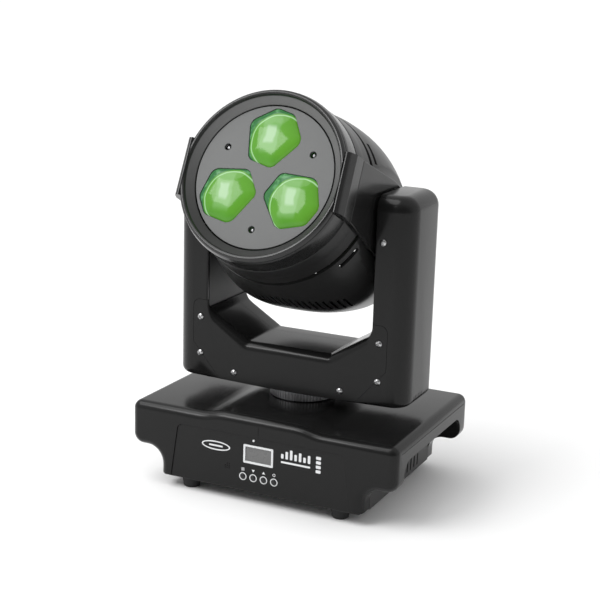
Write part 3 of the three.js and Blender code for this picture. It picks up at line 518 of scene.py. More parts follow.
BARREL_BLACK = moulded_black("barrel_black", 0.012, 0.30, 0.000008, 0.00002)
BEZEL = bezel_black()
GLOSS = moulded_black("gloss_black", 0.009, 0.20, 0.000010)
SATIN = moulded_black("satin_black", 0.012, 0.34, 0.00002)
OVERLAY = moulded_black("panel_overlay", 0.010, 0.30, 0.000015, 0.00004)
SHEET = powder_coat("black_powder_coat", 0.014, 0.5)
MOTOR_PAINT = powder_coat("motor_black", 0.02, 0.45)
INK = plain_moulding("white_ink", (0.82, 0.83, 0.84), 0.5)
WHITE = plain_moulding("white_plastic", (0.80, 0.81, 0.82), 0.45)
CAP = plain_moulding("button_black", (0.012, 0.012, 0.013), 0.42, 0.3)
RUBBER = plain_moulding("foot_rubber", (0.020, 0.020, 0.021), 0.75, 0.4)
BELT = plain_moulding("belt_rubber", (0.012, 0.012, 0.012), 0.7, 0.4)
DISC = plain_moulding("disc_grey", (0.085, 0.088, 0.087), 0.42, 0.07)
WHEEL = bare_metal("pan_wheel_metal", (0.50, 0.50, 0.51), 0.28, (1.0, 1.0, 12.0))
STEEL = bare_metal("zinc_steel", (0.62, 0.62, 0.63), 0.30, (1.0, 1.0, 12.0))
SCREW_METAL = bare_metal("screw_nickel", (0.55, 0.55, 0.55), 0.26, (1.0, 1.0, 4.0))
ALUMINIUM = bare_metal("aluminium", (0.76, 0.77, 0.78), 0.34, (10.0, 1.0, 1.0))
BOARD = circuit_board()
SCREEN = display_glass()
# Near-black matte used as painted shade: it fills the gaps round the lenses and the bottoms of the disc's screw
# holes.
PAINTED_SHADE_BLACK = plain_moulding("inner_painted_shade", (0.004, 0.004, 0.004), 0.8, 0.3)

SLOT_FINISH = {
    "gloss_black_shell": GLOSS, "satin_black_shell": SATIN, "black_sheet": SHEET,
    "panel_face": OVERLAY, "white_plastic": WHITE, "screen": SCREEN, "button_cap": CAP,
    "foot_rubber": RUBBER, "steel": STEEL, "aluminium": ALUMINIUM, "disc_grey": DISC,
    "lens_green": BOARD, "circuit_board": BOARD, "belt_rubber": BELT, "motor_black": MOTOR_PAINT,
}


def dress_frame():
    """Gives every node of the frame its finish."""
    for part in frame["record"]["subparts"]:
        node = frame["nodes"][part["node"]]
        node.data.materials.clear()
        node.data.materials.append(SLOT_FINISH[part["material_slot"]])
    frame["nodes"]["pan_pulley"].data.materials[0] = WHEEL


# ---------------------------------------------------------------- base
BASE_LOW, BASE_HIGH = box_mm("base_cover")
BASE_HALF = BASE_HIGH.x
BASE_END = BASE_HIGH.y
BASE_TOP = 82.0
BASE_FLOOR = BASE_LOW.z
BASE_EDGE = 8.5
BOX_HALF = 107.2
WING_LOW = 37.4
ARCH_HALF = 76.0
ARCH_TOP = 62.5
WALL = 3.0
SEAM_DEPTH = 0.35
PANEL_TOP = 67.0
PANEL_TOP_HALF = 87.5
PANEL_LOW_HALF = 95.0
PANEL_FACE = box_mm("control_panel")[0].y
REAR_OPENING_HALF = 92
REAR_OPENING_TOP = 66
NECK_RADIUS = 18


def panel_corners(grow, low=BASE_FLOOR):
    slope = (PANEL_LOW_HALF - PANEL_TOP_HALF) / (PANEL_TOP - BASE_FLOOR)
    low_half = PANEL_LOW_HALF + (BASE_FLOOR - low) * slope + grow
    return two_sided([(low_half, low, 0), (PANEL_TOP_HALF + grow, PANEL_TOP + grow, 6)])


def base_outside():
    """The T-shaped block: narrow box, wings over hollow quarter rounds, raised middle."""
    corners = two_sided([
        (BOX_HALF, BASE_FLOOR, 0), (BOX_HALF, WING_LOW, 16), (BASE_HALF, WING_LOW, 11),
        (BASE_HALF, BASE_TOP, 0), (60, BASE_TOP, 55), (42, BASE_HIGH.z, 55),
    ])
    bm = slab(corners, -BASE_END, BASE_END, "front", 10)

    def rounded(a, b):
        same_end = abs(a.y) > BASE_END - 0.01 and abs(a.y - b.y) < 0.01
        floor = a.z < BASE_FLOOR + 0.01 and b.z < BASE_FLOOR + 0.01
        side_top = min(abs(a.x), abs(b.x)) > BASE_HALF - 0.01 and min(a.z, b.z) > BASE_TOP - 0.01
        return (same_end and not floor) or side_top

    return round_edges(bm, rounded, BASE_EDGE, 8)


def base_cover():
    roof = BASE_TOP - WALL
    end = BASE_END - WALL
    wing = BASE_HALF - WALL
    hollows = [
        block(-BOX_HALF + WALL, BOX_HALF - WALL, -end, end, 0, roof),
        block(-wing, wing, -ARCH_HALF, ARCH_HALF, 0, roof),
    ]
    arch = [(-ARCH_HALF, -10, 0), (ARCH_HALF, -10, 0), (ARCH_HALF, ARCH_TOP, 14), (-ARCH_HALF, ARCH_TOP, 14)]
    arches = [slab(arch, BOX_HALF, FAR, "side"), slab(arch, -FAR, -BOX_HALF, "side")]
    panel = slab(panel_corners(0, 0), -FAR, -end + 5, "front")
    opening = rectangle(-REAR_OPENING_HALF, REAR_OPENING_HALF, 0, REAR_OPENING_TOP, 4)
    back = slab(opening, end - 5, FAR, "front")
    neck = rod(NECK_RADIUS, 0, FAR, facing="plan", segments=64)
    seam = block(-0.2, 0.2, -BASE_END - 1, -BASE_END + SEAM_DEPTH, PANEL_TOP + 1, 80)
    side_seams = [
        block(BASE_HALF - SEAM_DEPTH, FAR, -84, 84, 73.2, 73.7),
        block(-FAR, -BASE_HALF + SEAM_DEPTH, -84, 84, 73.2, 73.7),
    ]
    shell = cut(base_outside(), *hollows, *arches, panel, back, neck, seam, *side_seams)
    finished("base_shell", shell, "base", "gloss_black_shell", GLOSS, ["base_cover"], 0.5)


TRAY_FLOOR = 1.3
TRAY_WALL = 1.6
TRAY_SLOT_LOW = 15
TRAY_SLOT_TOP = 29


def base_tray():
    low, high = box_mm("base_tray")
    inside = BOX_HALF - WALL - GAP
    floor = block(-inside, inside, low.y, high.y, low.z, low.z + TRAY_FLOOR)
    reach = ARCH_HALF - GAP
    walls = [
        block(BOX_HALF - TRAY_WALL, BOX_HALF, -reach, reach, low.z, high.z),
        block(-BOX_HALF, -BOX_HALF + TRAY_WALL, -reach, reach, low.z, high.z),
        block(-BOX_HALF, BOX_HALF, -reach, reach, low.z, low.z + TRAY_FLOOR),
    ]
    slots = [
        slab([
            (y - 1.9, TRAY_SLOT_LOW, 1.4), (y + 1.1, TRAY_SLOT_LOW, 1.4),
            (y + 2.3, TRAY_SLOT_TOP, 1.4), (y - 0.7, TRAY_SLOT_TOP, 1.4),
        ], -FAR, FAR, "side", 4)
        for y in (10, 19, 28, 37, 46)
    ]
    tray = cut(fused(floor, *walls), gathered(*slots))
    finished("base_floor_tray", tray, "base", "black_sheet", SHEET, ["base_tray"], 0.3)


BUTTON_Z = 26.5
BUTTON_X = {
    name: (box_mm(f"button_{name}")[0].x + box_mm(f"button_{name}")[1].x) / 2
    for name in ("menu", "down", "up", "enter")
}
CAP_RADIUS = 2.5
FLANGE_RADIUS = CAP_RADIUS + 1.2
FLANGE_THICK = 1.2
PANEL_THICK = 2.4
DISPLAY_HALF = 16
DISPLAY_LOW = 40.3
DISPLAY_TOP = 59.3
STATUS_LAMP = (-5, 64)


def control_panel():
    plate = slab(panel_corners(-GAP), PANEL_FACE, PANEL_FACE + PANEL_THICK, "front")
    window = slab(rectangle(-DISPLAY_HALF, DISPLAY_HALF, DISPLAY_LOW, DISPLAY_TOP, 1), -FAR, FAR, "front", 3)
    holes = [rod(CAP_RADIUS + GAP, -FAR, FAR, (x, BUTTON_Z), "front") for x in BUTTON_X.values()]
    lamp = rod(1.4, -FAR, FAR, STATUS_LAMP, "front", 20)
    microphone = [
        rod(0.55, -FAR, FAR, (-35 + 2.2 * i, 32 + 2.2 * j), "front", 10)
        for i in range(3) for j in range(3) if (i, j) != (0, 2)
    ]
    panel = cut(plate, window, gathered(*holes, lamp, *microphone))
    finished("panel_plate", panel, "base", "panel_face", OVERLAY, ["control_panel"], 0.25)


# Printed marks stand a little proud of the panel and reach a little into it.
PRINT_LOW = PANEL_FACE - 0.16
PRINT_HIGH = PANEL_FACE + 0.05
PRINT_RING_DEPTH = 0.2


def printed(name, solids):
    finished(name, gathered(*solids), "base", "white_plastic", INK, soften=0)


def print_slab(corners):
    return slab(corners, PRINT_LOW, PRINT_HIGH, "front", 6)


def print_ring(x, z, outer, inner):
    deep = PRINT_RING_DEPTH
    ring = turned([(inner, 0, 0), (outer, 0, 0), (outer, deep, 0), (inner, deep, 0)], 48)
    turn = Matrix.Translation((x, PRINT_LOW + deep, z)) @ Matrix.Rotation(math.pi / 2, 4, "X")
    return placed(ring, turn)


def oval_ring(centre, outer, inner):
    rings = []
    for half, low, high in ((outer, PRINT_LOW, PRINT_HIGH), (inner, -FAR, FAR)):
        oval = rod(1, low, high, facing="front", segments=64)
        bmesh.ops.scale(oval, vec=(half[0], 1, half[1]), verts=oval.verts[:])
        bmesh.ops.translate(oval, vec=(centre[0], 0, centre[1]), verts=oval.verts[:])
        rings.append(oval)
    return cut(rings[0], rings[1])


def panel_marks():
    """Printed marks: rings and pictograms at the buttons, a blank badge and a plain level motif."""
    printed("button_rings", [print_ring(x, BUTTON_Z, 3.9, 3.0) for x in BUTTON_X.values()])
    z = BUTTON_Z + 7.2
    menu, down, up, enter = BUTTON_X.values()
    lines = [
        print_slab(rectangle(menu - 1.6, menu + 1.6, level - 0.25, level + 0.25))
        for level in (z - 1.1, z, z + 1.1)
    ]
    arrows = [
        print_slab([(down, z - 1.4, 0), (down + 1.6, z + 1.1, 0), (down - 1.6, z + 1.1, 0)]),
        print_slab([(up - 1.6, z - 1.1, 0), (up + 1.6, z - 1.1, 0), (up, z + 1.4, 0)]),
    ]
    printed("button_pictograms", lines + arrows + [print_ring(enter, z, 1.5, 1.0)])
    stripe = print_slab(rectangle(-53, -38, 51.1, 52.7, 0.7))
    printed("badge_outline", [oval_ring((-45.5, 51.9), (15.5, 4.6), (14.0, 3.4)), stripe])
    heights = (4.6, 7.4, 9.6, 6.2, 8.6, 5.2, 7.8)
    bars = [
        print_slab(rectangle(24 + 4.6 * i, 26.6 + 4.6 * i, 52, 52 + height, 0.8))
        for i, height in enumerate(heights)
    ]
    base_line = print_slab(rectangle(24, 54.2, 47.6, 49.4, 0.6))
    upright = [print_slab(rectangle(60, 65, 44.5 + 4.4 * i, 47.5 + 4.4 * i, 0.8)) for i in range(4)]
    printed("level_motif", bars + [base_line] + upright)


def push_buttons():
    for name, x in BUTTON_X.items():
        low, high = box_mm(f"button_{name}")
        length = high.y - low.y
        cap = turned([
            (0, 0, 0), (CAP_RADIUS, 0, 0), (CAP_RADIUS, length, 0.9), (0, length + 0.15, 0),
        ], 32)
        flange = turned([
            (0, 0, 0), (FLANGE_RADIUS, 0, 0), (FLANGE_RADIUS, FLANGE_THICK, 0), (0, FLANGE_THICK, 0),
        ], 32)
        placed(flange, Matrix.Translation((0, 0, 0.9)))
        turn = Matrix.Translation((x, high.y, BUTTON_Z)) @ Matrix.Rotation(math.pi / 2, 4, "X")
        finished(f"{name}_cap", placed(gathered(cap, flange), turn), f"button_{name}", "button_cap",
                 CAP, [f"button_{name}"], 0)


def rubber_feet():
    for end in ("front", "rear"):
        for side in ("left", "right"):
            low, high = box_mm(f"foot_{end}_{side}")
            middle = (low + high) / 2
            radius = (high.x - low.x) / 2
            top = high.z - low.z
            profile = [
                (0, 0, 0), (radius - 1.4, 0, 1.2), (radius, top - 2, 0.8), (radius, top, 0), (0, top, 0),
            ]
            foot = cut(turned(profile, 48), rod(3.6, -1, 3, facing="plan", segments=24))
            placed(foot, Matrix.Translation((middle.x, middle.y, low.z)))
            finished(f"{end}_{side}_foot", foot, "base", "foot_rubber", RUBBER,
                     [f"foot_{end}_{side}"], 0.3)


# ---------------------------------------------------------------- screws
def pan_head_screw(radius):
    """A low domed head with a cross recess, drawn with its top towards +Z."""
    head = turned([
        (0, -0.6, 0), (radius, -0.6, 0), (radius, radius * 0.28, radius * 0.3),
        (radius * 0.45, radius * 0.62, radius * 0.5), (0, radius * 0.66, 0),
    ], 32, 5)
    arm = radius * 0.56
    width = radius * 0.13
    deep = radius * 0.12
    cross = [
        block(-arm, arm, -width, width, deep, radius), block(-width, width, -arm, arm, deep, radius),
    ]
    return cut(head, *cross)


def screws(name, places, body, radius=3.2):
    """Screws at (point, direction) places, all in one finish."""
    heads = []
    for index, (point, direction) in enumerate(places):
        turn = Vector((0, 0, 1)).rotation_difference(Vector(direction)).to_matrix().to_4x4()
        twist = Matrix.Rotation(0.6 + 0.9 * index, 4, "Z")
        heads.append(placed(pan_head_screw(radius), Matrix.Translation(point) @ turn @ twist))
    for index, head in enumerate(heads):
        finished(f"{name}_{index + 1}", head, body, "steel", SCREW_METAL, soften=0.12)


# ---------------------------------------------------------------- yoke
YOKE_HALF = box_mm("right_arm_cover")[1].x
YOKE_FACE = box_mm("right_arm_cover")[1].y
YOKE_LOW = box_mm("right_arm_cover")[0].z
YOKE_TOP = box_mm("right_arm_cover")[1].z
ARM_INNER = 87.0
FORK_FLOOR = 141.0
FORK_SHOULDER = 167.0
FORK_FLAT = 44.0
SIDE_ROUND = 19.0
TOP_ROUND = 15.0
FORK_ROUND = 9.0
SPLIT_Y = 17.0
CROSS_HALF = 72.5


def yoke_block():
    """The yoke's rounded outside, with the gap for the head cut out and its edges rounded."""
    bm = block(-YOKE_HALF, YOKE_HALF, -YOKE_FACE, YOKE_FACE, YOKE_LOW, YOKE_TOP)

    def upright(a, b):
        return abs(a.z - b.z) > 10

    round_edges(bm, upright, SIDE_ROUND, 12)
    round_edges(bm, lambda a, b: min(a.z, b.z) > YOKE_TOP - 0.01 and a.z == b.z, TOP_ROUND, 10)
    round_edges(bm, lambda a, b: max(a.z, b.z) < YOKE_LOW + 0.01
                and max(abs(a.x), abs(b.x)) > YOKE_HALF - SIDE_ROUND + 0.01, 7, 6)
    fork = [
        (-FORK_FLAT, FORK_FLOOR, 6), (FORK_FLAT, FORK_FLOOR, 6), (ARM_INNER, FORK_SHOULDER, 14),
        (ARM_INNER, FAR, 0), (-ARM_INNER, FAR, 0), (-ARM_INNER, FORK_SHOULDER, 14),
    ]
    bm = cut(bm, slab(fork, -FAR, FAR, "front", 10))
    weight = bm.edges.layers.float.new("bevel_weight_edge")
    for edge in bm.edges:
        a, b = (vert.co for vert in edge.verts)
        on_face = min(abs(a.y), abs(b.y)) > YOKE_FACE - 0.01 and abs(a.y - b.y) < 0.01
        in_fork = max(abs(a.x), abs(b.x)) < ARM_INNER + 0.5 and min(a.z, b.z) > FORK_FLOOR - 0.5
        if on_face and in_fork:
            height = (a.z + b.z) / 2
            share = min(max((height - 158) / 14, 0.0), 1.0)
            edge[weight] = 1.0 - 0.8 * share
    return applied(bm, "BEVEL", limit_method="WEIGHT", width=FORK_ROUND, segments=7,
                   use_clamp_overlap=False)


def yoke_hollow():
    end = YOKE_FACE - WALL
    roof = FORK_FLOOR - 4.5
    shoulder = FORK_SHOULDER - 4.5
    bar = slab([
        (-88.5, YOKE_LOW - 5, 0), (88.5, YOKE_LOW - 5, 0), (88.5, shoulder, 0), (FORK_FLAT, roof, 0),
        (-FORK_FLAT, roof, 0), (-88.5, shoulder, 0),
    ], -end, end, "front")
    reach = YOKE_HALF - WALL
    arm = [(86, -end, 0), (reach, -end, SIDE_ROUND - WALL), (reach, end, SIDE_ROUND - WALL), (86, end, 0)]
    right = slab(arm, YOKE_LOW + WALL, YOKE_TOP - WALL, "plan", 8)
    round_edges(right, lambda a, b: min(a.z, b.z) > YOKE_TOP - WALL - 0.01
                and max(a.x, b.x) > 87, TOP_ROUND - WALL, 6)
    left = mirrored(gathered(right))
    return [bar, right, left]


TAB_HALF = 103.0
TAB_TOP = 177.5


def cross_region(grow):
    return two_sided([
        (CROSS_HALF + grow, YOKE_LOW - 20, 0), (CROSS_HALF + grow, YOKE_LOW + 1, 0),
        (TAB_HALF + grow, 134, 4),
        (TAB_HALF + grow, TAB_TOP + grow, 7), (81, TAB_TOP + grow, 0), (81, FORK_SHOULDER + 2, 0),
        (FORK_FLAT, FORK_FLOOR + 2, 0),
    ])


def yoke_covers():
    shell = cut(yoke_block(), *yoke_hollow())
    inner = YOKE_FACE - WALL
    behind_tabs = [
        block(ARM_INNER, FAR, -inner, inner, 0, FAR), block(-FAR, -ARM_INNER, -inner, inner, 0, FAR),
    ]
    front_region = slab(cross_region(0), -FAR, SPLIT_Y - GAP, "front")
    rear_region = slab(cross_region(0), SPLIT_Y, FAR, "front")
    front = cut(common(gathered(shell), front_region, True), *behind_tabs, folded=True)
    rear = cut(common(gathered(shell), rear_region, True), *behind_tabs, folded=True)
    finished("crossbar_front_cover", front, "yoke", "gloss_black_shell", GLOSS, ["front_cross_cover"], 0.35)
    finished("crossbar_rear_cover", rear, "yoke", "gloss_black_shell", GLOSS, ["rear_cross_cover"], 0.35)
    for side, name in ((1, "right"), (-1, "left")):
        near, far_edge = sorted((side * CROSS_HALF, side * FAR))
        half = common(gathered(shell), block(near, far_edge, -FAR, FAR, 0, FAR), True)
        x0, x1 = sorted((side * (ARM_INNER + 2 * GAP), -side * FAR))
        strip = block(x0, x1, -FAR, FAR, TAB_TOP, FAR)
        grooves = [
            block(*sorted((side * (YOKE_HALF - 5), side * FAR)), y - 0.6, y + 0.6, YOKE_LOW + 1, YOKE_LOW + 9)
            for y in range(-16, 8, 4)
        ]
        arm = cut(half, slab(cross_region(GAP), -FAR, FAR, "front"), strip, gathered(*grooves), folded=True)
        finished(f"{name}_arm_shell", arm, "yoke", "gloss_black_shell", GLOSS, [f"{name}_arm_cover"], 0.35)


def yoke_screws():
    places = []
    for side in (-1, 1):
        for x, z in ((95, 123), (95, 160), (95, 256), (57, 108)):
            places.append(((side * x, -YOKE_FACE + 0.1, z), (0, -1, 0)))
            places.append(((side * x, YOKE_FACE - 0.1, z), (0, 1, 0)))
    screws("yoke_screw", places, "yoke")


# ---------------------------------------------------------------- head
DISC_FACE = 107.5
DISC_RADIUS = 67.5
RING_BACK = 90.0
RING_RADIUS = 82.0
SHELL_SPLIT = 57.0
SIDE_FLAT = 80.0
TAB_FLAT = 84.3
TAB_WIDE = 28.0
HEAD_BACK = -98.0
SHELL_THICK = 2.6
TAB_INNER = 76
DISC_HOLE_RADIUS = 3.1
DISC_HOLE_OUT = 49.5


def on_head(name, bm, slot, material, stands_for=(), soften=0.4, **more):
    return finished(name, placed(bm, HEAD_PLACE), "head", slot, material, stands_for, soften, **more)


def bezel_ring():
    ring = turned([
        (79.6, RING_BACK, 0), (RING_RADIUS + 1, RING_BACK, 0.8), (RING_RADIUS, 109, 5),
        (RING_RADIUS - 1.6, 114.6, 2.2), (78.4, 116, 1), (76.4, 115.6, 0.8), (75.2, 113.0, 0.8),
        (68.6, DISC_FACE + 0.2, 1), (68.6, DISC_FACE - 4, 0), (79.6, DISC_FACE - 7, 0),
    ], 144, 5)
    groove = turned([(79.9, 111.6, 0), (84, 111.6, 0), (84, 112.3, 0), (79.9, 112.3, 0)], 144)
    flats = [block(*sorted((side * TAB_INNER, side * FAR)), -TAB_WIDE, TAB_WIDE, 0, FAR) for side in (-1, 1)]
    ring = cut(ring, groove, *flats)
    bar = slab([(74, RING_BACK, 0), (TAB_FLAT, RING_BACK, 0), (TAB_FLAT, 105.5, 2), (81.6, 113.2, 4),
                (77.2, 116.8, 2.4), (75.4, 113, 0), (74, 113, 0)], -TAB_WIDE - 5, TAB_WIDE + 5, "front", 8)
    keep = slab([(-TAB_WIDE, RING_BACK, 0), (TAB_WIDE + 2, RING_BACK, 0), (TAB_WIDE, 119, 0),
                 (-TAB_WIDE + 1, 119, 0)], -FAR, FAR, "side", 4)
    right = cut(common(bar, keep), rod(75.8, 0, FAR, facing="plan", segments=144))
    left = mirrored(gathered(right))
    on_head("bezel", fused(ring, right, left), "gloss_black_shell", BEZEL, ["bezel_ring"], 0.35)


# The section's power below the tilt axis, and the heights between which it takes hold.
SQUARENESS = 2.7
ROUND_FROM = 50
SQUARE_FROM = -20


def square_below(bm):
    """Below the tilt axis the section grows from a circle at the front to a soft square."""
    for vert in bm.verts:
        x, y, z = vert.co
        radius = math.hypot(x, y)
        if y >= 0 or radius < 1:
            continue
        total = abs(x / radius) ** SQUARENESS + abs(y / radius) ** SQUARENESS
        share = min(max((ROUND_FROM - z) / (ROUND_FROM - SQUARE_FROM), 0), 1)
        grow = 1 + (total ** (-1 / SQUARENESS) - 1) * share
        vert.co.x *= grow
        vert.co.y *= grow
    return bm


def flat_sided(outer, inner, shape=gathered):
    keep = block(-SIDE_FLAT, SIDE_FLAT, -FAR, FAR, -FAR, FAR)
    inner_half = SIDE_FLAT - SHELL_THICK
    inner_keep = block(-inner_half, inner_half, -FAR, FAR, -FAR, FAR)
    return cut(common(shape(turned(outer, 144)), keep), common(shape(turned(inner, 144)), inner_keep))


def front_shell():
    low = SHELL_SPLIT + 1.3
    high = RING_BACK - GAP
    outer = [(0, low, 0), (86.3, low, 1), (84.5, 72, 30), (83.2, high, 1), (0, high, 0)]
    inner = [(0, low - 1, 0), (83.7, low - 1, 0), (81.9, 72, 0), (80.6, high + 1, 0), (0, high + 1, 0)]
    shell = flat_sided(outer, inner)
    step = turned([(84.6, low - 1, 0), (90, low - 1, 0), (90, low + 2.2, 0), (84.6, low + 2.2, 0)], 144)
    on_head("front_barrel", cut(shell, step), "gloss_black_shell", BARREL_BLACK, ["head_front_shell"], 0.35)


def between(before, start, end, after, share):
    """A smooth curve's value at a share of the way from start to end."""
    square = (2 * before - 5 * start + 4 * end - after) * share * share
    cube = (3 * start - before - 3 * end + after) * share ** 3
    return 0.5 * (2 * start + (end - before) * share + square + cube)


def smooth_curve(points, parts):
    """Points on a smooth curve through the given points."""
    path = [points[0], *points, points[-1]]
    found = []
    for four in zip(path, path[1:], path[2:], path[3:]):
        for i in range(parts):
            found.append(tuple(between(*values, i / parts) for values in zip(*four)))
    return [*found, points[-1]]


BARREL = [
    (86.8, SHELL_SPLIT - 1.3), (90.6, 35), (93.0, 5), (91.0, -22), (84.6, -50), (77.4, -75),
    (72.6, -89), (68.0, -95.5), (62.0, HEAD_BACK),
]


# Cooling slots under the shell: how many each side of the middle one, and their chevron.
SLOTS_EACH_SIDE = 10
SLOT_APART = 3.6
SLOT_FRONT = 30
SLOT_FALL = 2.5
SLOT_LENGTH = 24
SLOT_HALF = 1.1
LOUVRES = 12
LATCH_STARTS = (27, 138, 207, 318)
SHAFT_HOLE = 10


def rear_shell_cuts():
    """The shell's cooling slots, end louvres, latch windows and shaft hole."""
    slots = []
    for step in range(-SLOTS_EACH_SIDE, SLOTS_EACH_SIDE + 1):
        front = SLOT_FRONT - SLOT_FALL * abs(step)
        outline = rectangle(-SLOT_HALF, SLOT_HALF, front - SLOT_LENGTH, front, SLOT_HALF - 0.01)
        slots.append(spun(slab(outline, -FAR, -60, "front", 3), SLOT_APART * step))
    louvre = rectangle(15, 46, -2.6, 2.6, 2.5)
    louvres = [
        spun(slab(louvre, HEAD_BACK - 5, HEAD_BACK + 6, "plan", 5), 360 / LOUVRES * i)
        for i in range(LOUVRES)
    ]
    window = [(82, 46, 0), (95, 46, 0), (95, 50.4, 0), (82, 50.4, 0)]
    latches = [spun(turned(window, 12, 1, math.radians(15)), start) for start in LATCH_STARTS]
    shaft = rod(SHAFT_HOLE, -FAR, FAR, facing="side")
    return [gathered(*slots), gathered(*louvres), gathered(*latches), shaft]


def latch_plates():
    profile = [(84.0, 44, 0), (85.2, 44, 0), (85.2, 52.4, 0), (84.0, 52.4, 0)]
    for index, start in enumerate(LATCH_STARTS):
        plate = spun(turned(profile, 12, 1, math.radians(17)), start - 1)
        on_head(f"latch_plate_{index + 1}", plate, "steel", STEEL, soften=0.2)


def rear_shell():
    curve = smooth_curve(BARREL, 5)
    top = BARREL[0][1]
    outer = [(0, top, 0), *((radius, height, 0) for radius, height in curve), (0, HEAD_BACK, 0)]
    inside = [(radius - SHELL_THICK, height) for radius, height in BARREL[:-1]]
    inner = [(0, top + 1, 0), (inside[0][0], top + 1, 0), *((r, z, 0) for r, z in inside),
             (0, HEAD_BACK + SHELL_THICK, 0)]
    shell = cut(flat_sided(outer, inner, square_below), *rear_shell_cuts())
    on_head("rear_barrel", shell, "gloss_black_shell", BARREL_BLACK, ["head_rear_shell"], 0.35)
    latch_plates()


def side_brackets():
    corners = [
        (-TAB_WIDE, RING_BACK - GAP, 0), (-38.5, 8, 8), (-38.5, -10, 8), (-TAB_WIDE, -76, 9),
        (TAB_WIDE, -76, 9), (38.5, -10, 8), (38.5, 8, 8), (TAB_WIDE + 2, RING_BACK - GAP, 0),
    ]
    for side, name in ((1, "right"), (-1, "left")):
        low, high = sorted((side * (SIDE_FLAT + GAP), side * TAB_FLAT))
        plate = slab(corners, low, high, "side", 6)
        plate = cut(plate, rod(9.3, -FAR, FAR, facing="side"))
        on_head(f"{name}_bracket", plate, "gloss_black_shell", GLOSS, [f"{name}_side_bracket"], 1.0, layers=3)


LENS_CORNERS = [(13, 11, 7), (29, 43.5, 9), (9.5, 64, 8), (-9.5, 64, 8), (-29, 43.5, 9), (-13, 11, 7)]


def grown(corners, amount):
    """A convex outline with its corners moved out from its middle."""
    middle = Vector((0, LENS_MIDDLE))
    result = []
    for x, y, radius in corners:
        away = (Vector((x, y)) - middle).normalized() * amount
        result.append((x + away.x, y + away.y, max(radius + amount, 1)))
    return result


def lens_placed(bm, name):
    """Turns a drawn pane about its middle, then carries it to its place round the disc."""
    middle = Matrix.Translation((0, LENS_MIDDLE, 0))
    twist = Matrix.Rotation(math.radians(LENS_TWISTS[name]), 4, "Z")
    return spun(placed(bm, middle @ twist @ middle.inverted()), LENS_TURNS[name])


def lens_disc():
    plate = rod(DISC_RADIUS, DISC_FACE - 3, DISC_FACE, facing="plan", segments=144)
    tools = []
    for name, turn in LENS_TURNS.items():
        tools.append(lens_placed(slab(LENS_CORNERS, DISC_FACE - 10, DISC_FACE + 10, "plan", 8), name))
        hole = rod(DISC_HOLE_RADIUS, DISC_FACE - 10, DISC_FACE + 10, (0, -DISC_HOLE_OUT), "plan", 32)
        tools.append(spun(hole, turn))
    on_head("lens_plate", cut(plate, gathered(*tools)), "disc_grey", DISC, ["lens_disc"], 0.5)
    in_hole = Matrix.Translation((0, -DISC_HOLE_OUT, DISC_FACE - 2.6))
    for index, turn in enumerate(LENS_TURNS.values()):
        place = HEAD_PLACE @ Matrix.Rotation(math.radians(turn), 4, "Z") @ in_hole
        finished(f"disc_screw_{index + 1}", placed(pan_head_screw(1.8), place), "head", "steel",
                 STEEL, soften=0.1)
        # A near-black cup under each screw hole: painted shade seen round the screw.
        cup = turned([
            (0, -6, 0), (DISC_HOLE_RADIUS, -6, 0), (DISC_HOLE_RADIUS, -2.9, 0), (0, -2.9, 0),
        ], 24)
        finished(f"disc_boss_{index + 1}", placed(cup, place), "head", "satin_black_shell", PAINTED_SHADE_BLACK, soften=0)


def lenses():
    for name, turn in LENS_TURNS.items():
        bm = slab(grown(LENS_CORNERS, -0.4), DISC_FACE - 13, DISC_FACE - 0.6, "plan", 8)
        top = max(bm.faces, key=lambda face: face.calc_center_median().z)
        for share, rise in ((0.95, 1.3), (0.84, 1.4), (0.8, 0.9), (0.7, 0.4)):
            raised = bmesh.ops.extrude_discrete_faces(bm, faces=[top])["faces"]
            top = raised[0]
            middle = Matrix.Translation((0, -LENS_MIDDLE, 0))
            bmesh.ops.scale(bm, vec=(share, share, 1), space=middle, verts=top.verts[:])
            bmesh.ops.translate(bm, verts=top.verts[:], vec=(0, 0, rise))
        on_head(f"{name}_lens", lens_placed(bm, name), "lens_green", lit_lens(f"lens_{name}_lit", turn),
                [f"lens_{name}"], 0.0, sharp=50)
        # A near-black sleeve seen through the gap round each lens: painted shade.
        sleeve = slab(grown(LENS_CORNERS, 3), DISC_FACE - 14, DISC_FACE - 3.3, "plan", 8)
        sleeve = cut(sleeve, slab(grown(LENS_CORNERS, -0.1), -FAR, FAR, "plan", 8))
        on_head(f"{name}_lens_sleeve", lens_placed(sleeve, name), "satin_black_shell", PAINTED_SHADE_BLACK, soften=0)


# ---------------------------------------------------------------- studio
ROOM_BRIGHT = 0.95
ROOM_DIM = 0.12
DIM_TOWARD = (0.43, -0.90, 0.0)
FLOOR_SIDE = 60
FLOOR_TONE = 0.93
OVERHEAD = 1.2
OVERHEAD_SPREAD = 40
OVERHEAD_FROM = Vector((-0.42, -0.24, 0.88))
FRONT_LIGHT = 7
FRONT_LIGHT_SIZE = (0.7, 0.35)
FRONT_LIGHT_AWAY = 1.5
FRONT_LIGHT_FROM = Vector((-0.42, -0.65, 0.64)).normalized()
HEAD_HEIGHT = 0.15


def studio_floor():
    """A flat pale sheet under the object."""
    bm = bmesh.new()
    bmesh.ops.create_grid(bm, x_segments=1, y_segments=1, size=0.5)
    bmesh.ops.scale(bm, vec=(FLOOR_SIDE, FLOOR_SIDE, 1), verts=bm.verts[:])
    mesh = bpy.data.meshes.new("studio_floor")
    bm.to_mesh(mesh)
    made = bpy.data.objects.new("studio_floor", mesh)
    bpy.context.scene.collection.objects.link(made)
    paint = Finish("studio_floor_paint", Roughness=0.95)
    shade = paint.blend(paint.noise(3.0), grey(FLOOR_TONE), grey(FLOOR_TONE * 1.02))
    paint.drive("Base Color", shade)
    mesh.materials.append(paint.material)


